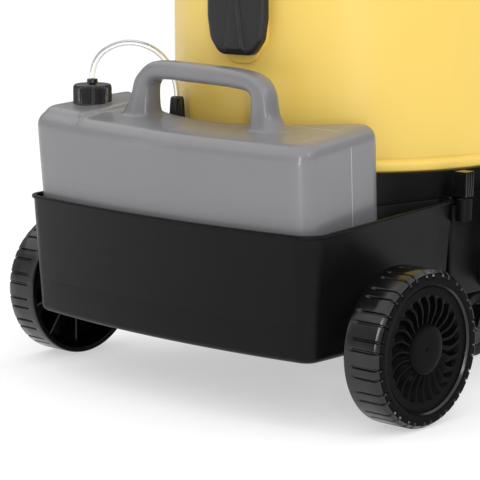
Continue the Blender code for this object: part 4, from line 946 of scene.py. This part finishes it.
def tub_skin(bm, outline, bottom, edge, wall, top_levels, floor_edge):
    """Open-topped tub: outside up from a rounded bottom edge, over the rim levels, and down inside."""
    rings = edge_layers(outline, edge, 6, 0.0, bottom)
    rings += [basket_layer(outline, inset, z, share) for inset, z, share in top_levels]
    rings += edge_layers(outline, floor_edge, 6, wall, bottom + wall)[::-1]
    skin(bm, rings)


def make_basket():
    top, wall, bead = BASKET_TOP, BASKET_WALL, BASKET_BEAD
    wing_floor = BASE_LOW.z + 0.0003
    levels = [(0.0, top - 0.0060, 1.0), (-bead * 0.15, top - 0.0048, 1.0), (-bead * 0.6, top - 0.0043, 1.0),
              (-bead * 0.92, top - 0.0038, 1.0), (-bead, top - 0.0030, 1.0), (-bead, top - 0.0012, 1.0),
              (-bead * 0.85, top - 0.0004, 1.0), (-bead * 0.5, top, 1.0), (wall * 0.6, top, 1.0),
              (wall * 0.9, top - 0.0004, 1.0), (wall, top - 0.0012, 1.0), (wall, top - 0.030, 1.0)]
    bm = bmesh.new()
    tub_skin(bm, basket_outline, wing_floor, 0.0045, wall, levels, 0.004)
    basket = piece("basket_shell", bm, GRAINED, "chassis", 34.0, ("rear_basket",))
    bm = bmesh.new()
    rings = edge_layers(well_outline, 0.0085, 8, 0.0002, BASKET_LOW.z)
    rings.append(basket_layer(well_outline, 0.0002, wing_floor + 0.0030, 0.0))
    skin(bm, rings)
    bake_booleans(basket, [cutter("well_form", bm)], "UNION")
    bm = bmesh.new()
    rings = edge_layers(well_outline, 0.007, 6, wall + 0.0002, BASKET_LOW.z + wall)
    rings.append(basket_layer(well_outline, wall + 0.0002, wing_floor + wall + 0.006, 0.0))
    skin(bm, rings)
    bake_booleans(basket, [cutter("well_hollow", bm)])
    for side, sign in (("left", 1.0), ("right", -1.0)):
        make_sleeve(side, sign)


PIN_X, PIN_Y = 0.2525, AXLE_Y - 0.1545


def make_sleeve(side, sign):
    """Sleeve ahead of the basket's side wall, with the ribbed post it slides on to."""
    low, high, radius, bore = 0.2220, 0.2505, 0.0105, 0.0060
    place = Matrix.Translation((sign * PIN_X, PIN_Y, 0))
    profile = [(bore, low), (radius - 0.0012, low), (radius, low + 0.0012), (radius, high - 0.0014),
               (radius - 0.0010, high), (bore + 0.0008, high), (bore, high - 0.0008)]
    lathe("basket_sleeve_" + side, profile, GRAINED, "chassis", 40, True, place)
    bm = bmesh.new()
    box_into(bm, (sign * (PIN_X - 0.0100), PIN_Y + 0.007, low + 0.0015),
             (sign * (PIN_X - 0.003), AXLE_Y - BASKET_FRONT + 0.003, high - 0.008), 0.0012)
    piece("sleeve_arm_" + side, bm, GRAINED, "chassis")
    # the collar's post, with four upright ribs on its outer side, and its square pin inside the sleeve
    bm = bmesh.new()
    base_low, top = high + 0.0012, BASE_HIGH.z + 0.001
    half = 0.0083
    outline = []
    ribs = 4
    for k in range(ribs):
        a = -half + 2.0 * half * k / ribs
        width = 2.0 * half / ribs
        for share, out in ((0.0, 0.0), (0.16, 0.0), (0.24, 0.0011), (0.76, 0.0011), (0.84, 0.0)):
            outline.append((half - 0.0011 + out, a + width * share))
    outline += [(half - 0.0011, half), (-half, half), (-half, -half)]
    rings = [[Vector((sign * (PIN_X + x * k), PIN_Y + y * k, z)) for x, y in outline]
             for z, k in ((base_low, 0.94), (base_low + 0.0008, 1.0), (top - 0.0012, 1.08), (top, 1.04))]
    skin(bm, rings)
    box_into(bm, (sign * PIN_X - 0.0042, PIN_Y - 0.0042, low + 0.0010),
             (sign * PIN_X + 0.0042, PIN_Y + 0.0042, base_low + 0.001), 0.0008)
    reach = math.sqrt((BASE_RADIUS + 0.0005) ** 2 - (PIN_Y - half - DRUM_Y) ** 2)
    box_into(bm, (sign * PIN_X, PIN_Y - half, base_low + 0.0003),
             (sign * reach, PIN_Y + half, base_low + 0.0110), 0.0)
    piece("collar_post_" + side, bm, BLACK, "chassis", 30.0, ("basket_pin_" + side,))


def make_base():
    """Round tray with rounded collar, and flat pods on its sides ahead of the basket."""
    low, high, r = BASE_LOW.z, BASE_HIGH.z, BASE_RADIUS
    inner = r - BASE_WALL
    profile = [(0, low), (r - 0.007, low), (r - 0.0035, low + 0.0012), (r - 0.001, low + 0.0035),
               (r, low + 0.007),
               (r, high - 0.0022), (r - 0.0006, high - 0.0007), (r - 0.0020, high), (inner + 0.0012, high),
               (inner, high - 0.0012), (inner, low + BASE_WALL + 0.004), (inner - 0.004, low + BASE_WALL),
               (0, low + BASE_WALL)]
    lathe("base_tray", profile, GRAINED, "chassis", 160, False, AT_DRUM,
          ("base_frame",))
    back = AXLE_Y - BASKET_FRONT - BASKET_BEAD - 0.001
    front = DRUM_Y - (back - DRUM_Y)
    for sign in (-1.0, 1.0):
        x = sign * 0.150
        corners = [(sign * POD_HALF, front, 0.030), (sign * POD_HALF, back, 0.004), (x, back, 0.0),
                   (x, front, 0.0)]
        if sign > 0:
            corners.reverse()
        bm = bmesh.new()
        rings = []
        for inset, z in ((0.003, low), (0.0008, low + 0.0008), (0.0, low + 0.003), (0.0, POD_TOP - 0.003),
                         (0.0008, POD_TOP - 0.0008), (0.003, POD_TOP)):
            moved = [(cx - (sign * inset if abs(cx) > 0.2 else 0.0), cy + (inset if cy < DRUM_Y else -inset),
                      radius)
                     for cx, cy, radius in corners]
            rings.append([Vector((px, py, z)) for px, py in filleted(moved, 10)])
        skin(bm, rings)
        pod = cutter("pod_form", bm)
        bm = bmesh.new()
        room = [(0, low + BASE_WALL), (inner + 0.002, low + BASE_WALL), (inner + 0.002, high + 0.01),
                (0, high + 0.01)]
        spin(bm, room, 160, False, AT_DRUM)
        bake_booleans(pod, [cutter("pod_hollow", bm)])
        pod.hide_render = False
        pod.name = "base_pod_" + ("right" if sign < 0 else "left")
        pod.data.materials.clear()
        pod.data.materials.append(GRAINED)
        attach(pod, "chassis")


# ---------------------------------------------------------------- drum and latches
def drum_layer(points, depth):
    return [TURNED_DRUM @ Vector((x, depth, z)) for x, z in points]


def make_drum():
    r = DRUM_RADIUS
    seat = BASE_HIGH.z + 0.0003
    lip = r + LIP_OUT
    foot = BASE_RADIUS - BASE_WALL - 0.003
    inner = r - DRUM_WALL
    rim = HEAD_RADIUS - 0.001
    floor = DRUM_FLOOR
    profile = [(0, floor), (foot - 0.012, floor), (foot - 0.004, floor + 0.003), (foot, floor + 0.010),
               (foot, seat - 0.0002), (lip - 0.0022, seat), (lip - 0.0007, seat + 0.0008),
               (lip, seat + 0.0024),
               (lip, seat + 0.0075), (lip - 0.0005, seat + 0.0094), (lip - 0.0018, seat + 0.0108),
               (r + 0.0012, seat + 0.0118), (r + 0.0002, seat + 0.0126), (r - 0.0010, seat + 0.0134),
               (r - 0.0011, seat + 0.0150), (r - 0.0004, seat + 0.0160), (r, seat + 0.0175)]
    for k in range(1, 16):
        profile.append((r, seat + 0.0175 + (DRUM_TOP - 0.020 - seat - 0.0175) * k / 16))
    profile += [(r, DRUM_TOP - 0.020), (r + 0.0006, DRUM_TOP - 0.0180), (rim - 0.001, DRUM_TOP - 0.0160),
                (rim, DRUM_TOP - 0.0145), (rim, DRUM_TOP - 0.001), (rim - 0.001, DRUM_TOP),
                (inner + 0.0008, DRUM_TOP),
                (inner, DRUM_TOP - 0.0008), (inner, floor + 0.018), (inner - 0.005, floor + 0.008),
                (inner - 0.016, floor + DRUM_WALL), (0, floor + DRUM_WALL)]
    drum = lathe("drum_shell", profile, YELLOW, "chassis", 192, False, TURNED_DRUM,
                 ("drum",))
    port = TURNED_DRUM @ Matrix.Translation((0, 0, PORT_Z)) @ Matrix.Rotation(PORT_TURN, 4, "Z")
    port = port @ Matrix.Rotation(math.radians(-90.0), 4, "X")
    bm = bmesh.new()
    spin(bm, [(0, r - 0.03), (0.0215, r - 0.03), (0.0215, r + 0.03), (0, r + 0.03)], 48, False, port)
    bake_booleans(drum, [cutter("inlet_hole", bm)])
    inlet = [(0.0190, r - 0.0300), (0.0210, r - 0.0300), (0.0212, r + 0.0035), (0.0322, r + 0.0035),
             (0.0330, r + 0.0045), (0.0330, r + 0.0070), (0.0322, r + 0.0080), (0.0262, r + 0.0090),
             (0.0244, r + 0.0104), (0.0236, r + 0.0300), (0.0240, r + 0.0305), (0.0240, r + 0.0332),
             (0.0232, r + 0.0340), (0.0196, r + 0.0340), (0.0190, r + 0.0332)]
    lathe("suction_inlet", inlet, BLACK, "chassis", 64, True, port, ("drum_inlet",))
    outer = r + 0.0060
    for side, sign in (("rear", 1.0), ("front", -1.0)):
        bm = bmesh.new()
        rings = []
        for depth, shrink in ((r - 0.004, 0.0), (outer - 0.0022, 0.0), (outer - 0.0007, 0.0006),
                              (outer, 0.0022)):
            points = both_sides([(-PAD_HALF + shrink, PAD_TOP - shrink, 0.003),
                                 (-PAD_HALF + shrink, 0.440, 0.030),
                                 (-PAD_HALF / 2.0, PAD_FOOT + shrink, 0.020)], 12)
            rings.append(drum_layer(points, sign * depth))
        skin(bm, rings)
        piece("latch_pad_" + side, bm, YELLOW, "chassis", 30.0)
        make_latch(side, sign)


def latch_outline(shrink):
    half, top, low = LATCH_HALF, LATCH_PIN_Z + 0.0065, LATCH_BOTTOM
    return both_sides([(-half + shrink, top - shrink, 0.006), (-half + shrink, 0.470, 0.020),
                       (-half * 0.90 + shrink * 0.9, 0.443 + shrink * 0.4, 0.018),
                       (-half * 0.56, low + shrink, 0.016)], 10)


def make_latch(side, sign):
    """Thick textured lever with a U-shaped end, rolled edges and a tapering raised spine."""
    back = LATCH_BACK
    face = back + 0.0130
    bm = bmesh.new()
    rings = []
    for depth, shrink in ((back, 0.0006), (back + 0.0008, 0.0), (face - 0.0046, 0.0), (face - 0.0026, 0.0008),
                          (face - 0.0010, 0.0028), (face - 0.0002, 0.0058), (face, 0.0085)):
        rings.append(drum_layer(latch_outline(shrink), sign * depth))
    skin(bm, rings)
    latch = piece("latch_lever_" + side, bm, LATCH_BLACK, side + "_latch", 38.0,
                  ("latch_" + side,))
    behind = sign * (back - 0.02)
    cutters = [box_cutter("latch_relief", (-0.06, behind, LATCH_PIN_Z),
                          (0.06, sign * (back + 0.0035), LATCH_PIN_Z + 0.02), 0.0, TURNED_DRUM)]
    for ear in (-1.0, 1.0):
        cutters.append(box_cutter("ear_slot", (ear * 0.0172, behind, LATCH_PIN_Z - 0.022),
                                  (ear * 0.0250, sign * (back + 0.03), LATCH_PIN_Z + 0.022), 0.0,
                                  TURNED_DRUM))
    bake_booleans(latch, cutters)
    bm = bmesh.new()
    rings = []
    for depth, grow in ((face - 0.0012, 0.0050), (face + 0.0006, 0.0030), (face + 0.0028, 0.0010),
                        (face + 0.0037, 0.0002), (face + 0.0040, -0.0008)):
        half, low, top = 0.0120 + grow, LATCH_BOTTOM + 0.0075 - grow, 0.508 + grow * 2.0
        points = filleted([(-half, low, 0.004), (half, low, 0.004), (0.0016 + grow * 0.4, top, 0.0012),
                           (-0.0016 - grow * 0.4, top, 0.0012)], 5)
        rings.append(drum_layer(points, sign * depth))
    skin(bm, rings)
    piece("latch_spine_" + side, bm, LATCH_BLACK, side + "_latch", 40.0)


# ---------------------------------------------------------------- head
def make_head():
    low, r = RING_LOW.z, HEAD_RADIUS
    top = 0.642
    deck = low + 0.006
    ring = [(0.075, low), (r - 0.0018, low), (r - 0.0004, low + 0.0006), (r, low + 0.0018), (r, low + 0.0118),
            (r - 0.0012, low + 0.0142), (r - 0.0056, low + 0.0196), (r - 0.0068, low + 0.0222),
            (r - 0.0138, top - 0.0016), (r - 0.0146, top), (r - 0.0180, top), (r - 0.0120, deck + 0.010),
            (r - 0.0160, deck), (0.075, deck)]
    lathe("head_ring", ring, BLACK, "head", 160, True, AT_DRUM, ("head_base",))
    pin_out = DRUM_RADIUS + 0.013
    for sign in (-1.0, 1.0):
        bm = bmesh.new()
        for ear in (-1.0, 1.0):
            box_into(bm, (ear * 0.0180, sign * (r - 0.010), LATCH_PIN_Z - 0.0075),
                     (ear * 0.0240, sign * (pin_out + 0.0055), LATCH_PIN_Z + 0.0060), 0.0012, TURNED_DRUM)
        piece("latch_ears_" + ("front" if sign < 0 else "rear"), bm, BLACK, "head")
    cover_low, outer, crown = COVER_LOW.z, (COVER_HIGH.x - COVER_LOW.x) / 2.0, COVER_HIGH.z
    wall = 0.0035
    outside = [(0, crown), (outer - 0.060, crown - 0.004), (outer - 0.022, crown - 0.022),
               (outer - 0.006, crown - 0.050), (outer, cover_low)]
    rounded = smooth_route([Vector((a, 0, b)) for a, b in outside], 8)
    dome = [(min(p.x, outer), min(p.z, crown)) for p in rounded]
    dome[0] = (0.0, crown)
    inside = [(max(a - wall, 0.0), b - wall * clamp(1.0 - (a / outer) ** 3)) for a, b in reversed(dome)]
    inside[0] = (outer - wall, cover_low)
    inside = [(a, min(b, crown - wall)) for a, b in inside if a > 0.0008] + [(0.0, crown - wall)]
    cover = lathe("head_dome", dome + inside, YELLOW, "head", 160, False, AT_DRUM,
                  ("head_cover",))
    bm = bmesh.new()
    box_into(bm, (-0.0755, -r - 0.02, cover_low + 0.008), (0.0755, -outer + 0.050, cover_low + 0.064), 0.0,
             AT_DRUM)
    for sign in (-1.0, 1.0):
        for k in range(6):
            turn = AT_DRUM @ Matrix.Rotation(sign * math.radians(90.0 + 7.0 * (k - 2.5)), 4, "Z")
            box_into(bm, (-0.005, outer - 0.050, cover_low + 0.009),
                     (0.005, outer + 0.030, cover_low + 0.035),
                     0.0018, turn)
    bake_booleans(cover, [cutter("cover_cuts", bm)])
    make_carry_handle()


def make_carry_handle():
    low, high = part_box("carry_handle")
    grip = high.z - 0.009
    half = [(-0.100, 0.752, 90.0), (-0.0985, 0.766, 84.0), (-0.086, grip - 0.0015, 40.0), (-0.060, grip, 4.0)]
    stations = [*half, (0.0, grip, 0.0), *((-x, z, -tilt) for x, z, tilt in reversed(half))]
    bm = bmesh.new()
    skin(bm, bail_rings([(*station, 0.0172, 0.0292) for station in stations], 6, DRUM_Y, 28, 2.6))
    for sign in (-1.0, 1.0):
        box_into(bm, (sign * 0.086, -0.020, low.z), (sign * 0.126, 0.020, 0.757), 0.003, AT_DRUM, 3)
        spin(bm, [(0, 0.7565), (0.0045, 0.7565), (0.0045, 0.7590), (0.0036, 0.7598), (0, 0.7600)], 20, False,
             AT_DRUM @ Matrix.Translation((sign * 0.116, 0, 0)))
    piece("carry_grip", bm, BLACK, "head", 34.0, ("carry_handle",))


# ---------------------------------------------------------------- casters and drain
def mirrored(profile):
    """A profile and its mirror image across height 0."""
    return profile + [(radius, -height) for radius, height in reversed(profile)]


def make_casters():
    for side in ("left", "right"):
        low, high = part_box("caster_wheel_" + side)
        centre = (low + high) / 2.0
        half = (high.x - low.x) / 2.0
        r = (high.z - low.z) / 2.0
        place = Matrix.Translation(centre) @ Matrix.Rotation(math.pi / 2.0, 4, "Y")
        tyre = [(0.0300, -half + 0.002), (0.0320, -half + 0.0012), (r - 0.0060, -half),
                (r - 0.0030, -half + 0.0008), (r - 0.0008, -half + 0.0034), (r, -half + 0.0065)]
        lathe("caster_tyre_" + side, mirrored(tyre), RUBBER, "caster_roller_" + side, 72, True,
              place,
              ("caster_wheel_" + side,))
        core = [(0.0035, -half + 0.0005), (0.0095, -half + 0.0005), (0.0105, -half + 0.0015),
                (0.0115, -half + 0.0045), (0.0262, -half + 0.0050), (0.0285, -half + 0.0026),
                (0.0302, -half + 0.0022)]
        lathe("caster_core_" + side, mirrored(core), BLACK, "caster_roller_" + side, 56, True,
              place)


def make_drain():
    low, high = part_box("drain_hose")
    route = ((0.0000, 0.022), (0.0000, 0.034), (0.0010, 0.048), (0.0024, 0.064), (0.0036, 0.080),
             (0.0040, 0.096))
    x, y, z = -POD_HALF - 0.0225, DRUM_Y + 0.010, 0.150
    points = smooth_route([Vector((x, y - f, z + u)) for f, u in route], 24)
    rings = []
    for i, ring in enumerate(tube_rings(points, 1.0, 40)):
        wave = 0.5 - 0.5 * math.cos(2.0 * math.pi * i / 9.0)
        radius = 0.0126 + 0.0023 * min(wave * 1.5, 1.0)
        rings.append([points[i] + (p - points[i]) * radius for p in ring])
    bm = bmesh.new()
    skin(bm, rings)
    piece("drain_tube", bm, RUBBER, "chassis", 50.0, ("drain_hose",))
    low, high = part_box("drain_cap")
    place = Matrix.Translation(((low.x + high.x) / 2.0, (low.y + high.y) / 2.0, low.z))
    tall = high.z - low.z
    levels = [(0.0170, 0.0, 0), (0.0181, 0.0006, 0), (0.0184, 0.0016, 1), (0.0184, tall - 0.0045, 1),
              (0.0178, tall - 0.0022, 0.5), (0.0160, tall - 0.0004, 0), (0.0140, tall, 0), (0.0030, tall, 0)]
    bm = bmesh.new()
    ribbed(bm, levels, 24, (1, 0, 0, 0, 0), 0.0010, place)
    piece("drain_cap_ribbed", bm, BLACK, "outlet_cap", 30.0, ("drain_cap",))


def dress_kept_nodes():
    """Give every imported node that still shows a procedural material."""
    dressed = (
        (STEEL, ("rear_axle", "caster_plate_left", "caster_plate_right", "caster_axle_left",
                 "caster_axle_right",
                 "latch_pin_rear", "latch_pin_front", "coupling_sleeve", "vacuum_motor", "fan_housing",
                 "fan_rotor",
                 "pump_bracket")),
        (BLACK, ("axle_bracket_left", "axle_bracket_right", "caster_fork_left", "caster_fork_right",
                 "inlet_stub",
                 "switch_panel", "cord_gland", "solution_pump", "drain_outlet", "hose_clip")),
        (RUBBER, ("head_gasket",)),
        (WHITE, ("filter_cage", "float_ball")),
        (BRASS, ("coupling_body",)),
        (RED, ("switch_motor_a", "switch_motor_b", "switch_pump")),
        (CLEAR, ("dip_tube",)),
    )
    for look, names in dressed:
        for name in names:
            node = bpy.data.objects[name]
            node.data.materials.clear()
            node.data.materials.append(look)


def main():
    make_camera()
    make_studio()
    make_hose()
    make_wheels()
    make_tank()
    make_cap()
    make_basket()
    make_base()
    make_drum()
    make_head()
    make_casters()
    make_drain()
    dress_kept_nodes()


main()
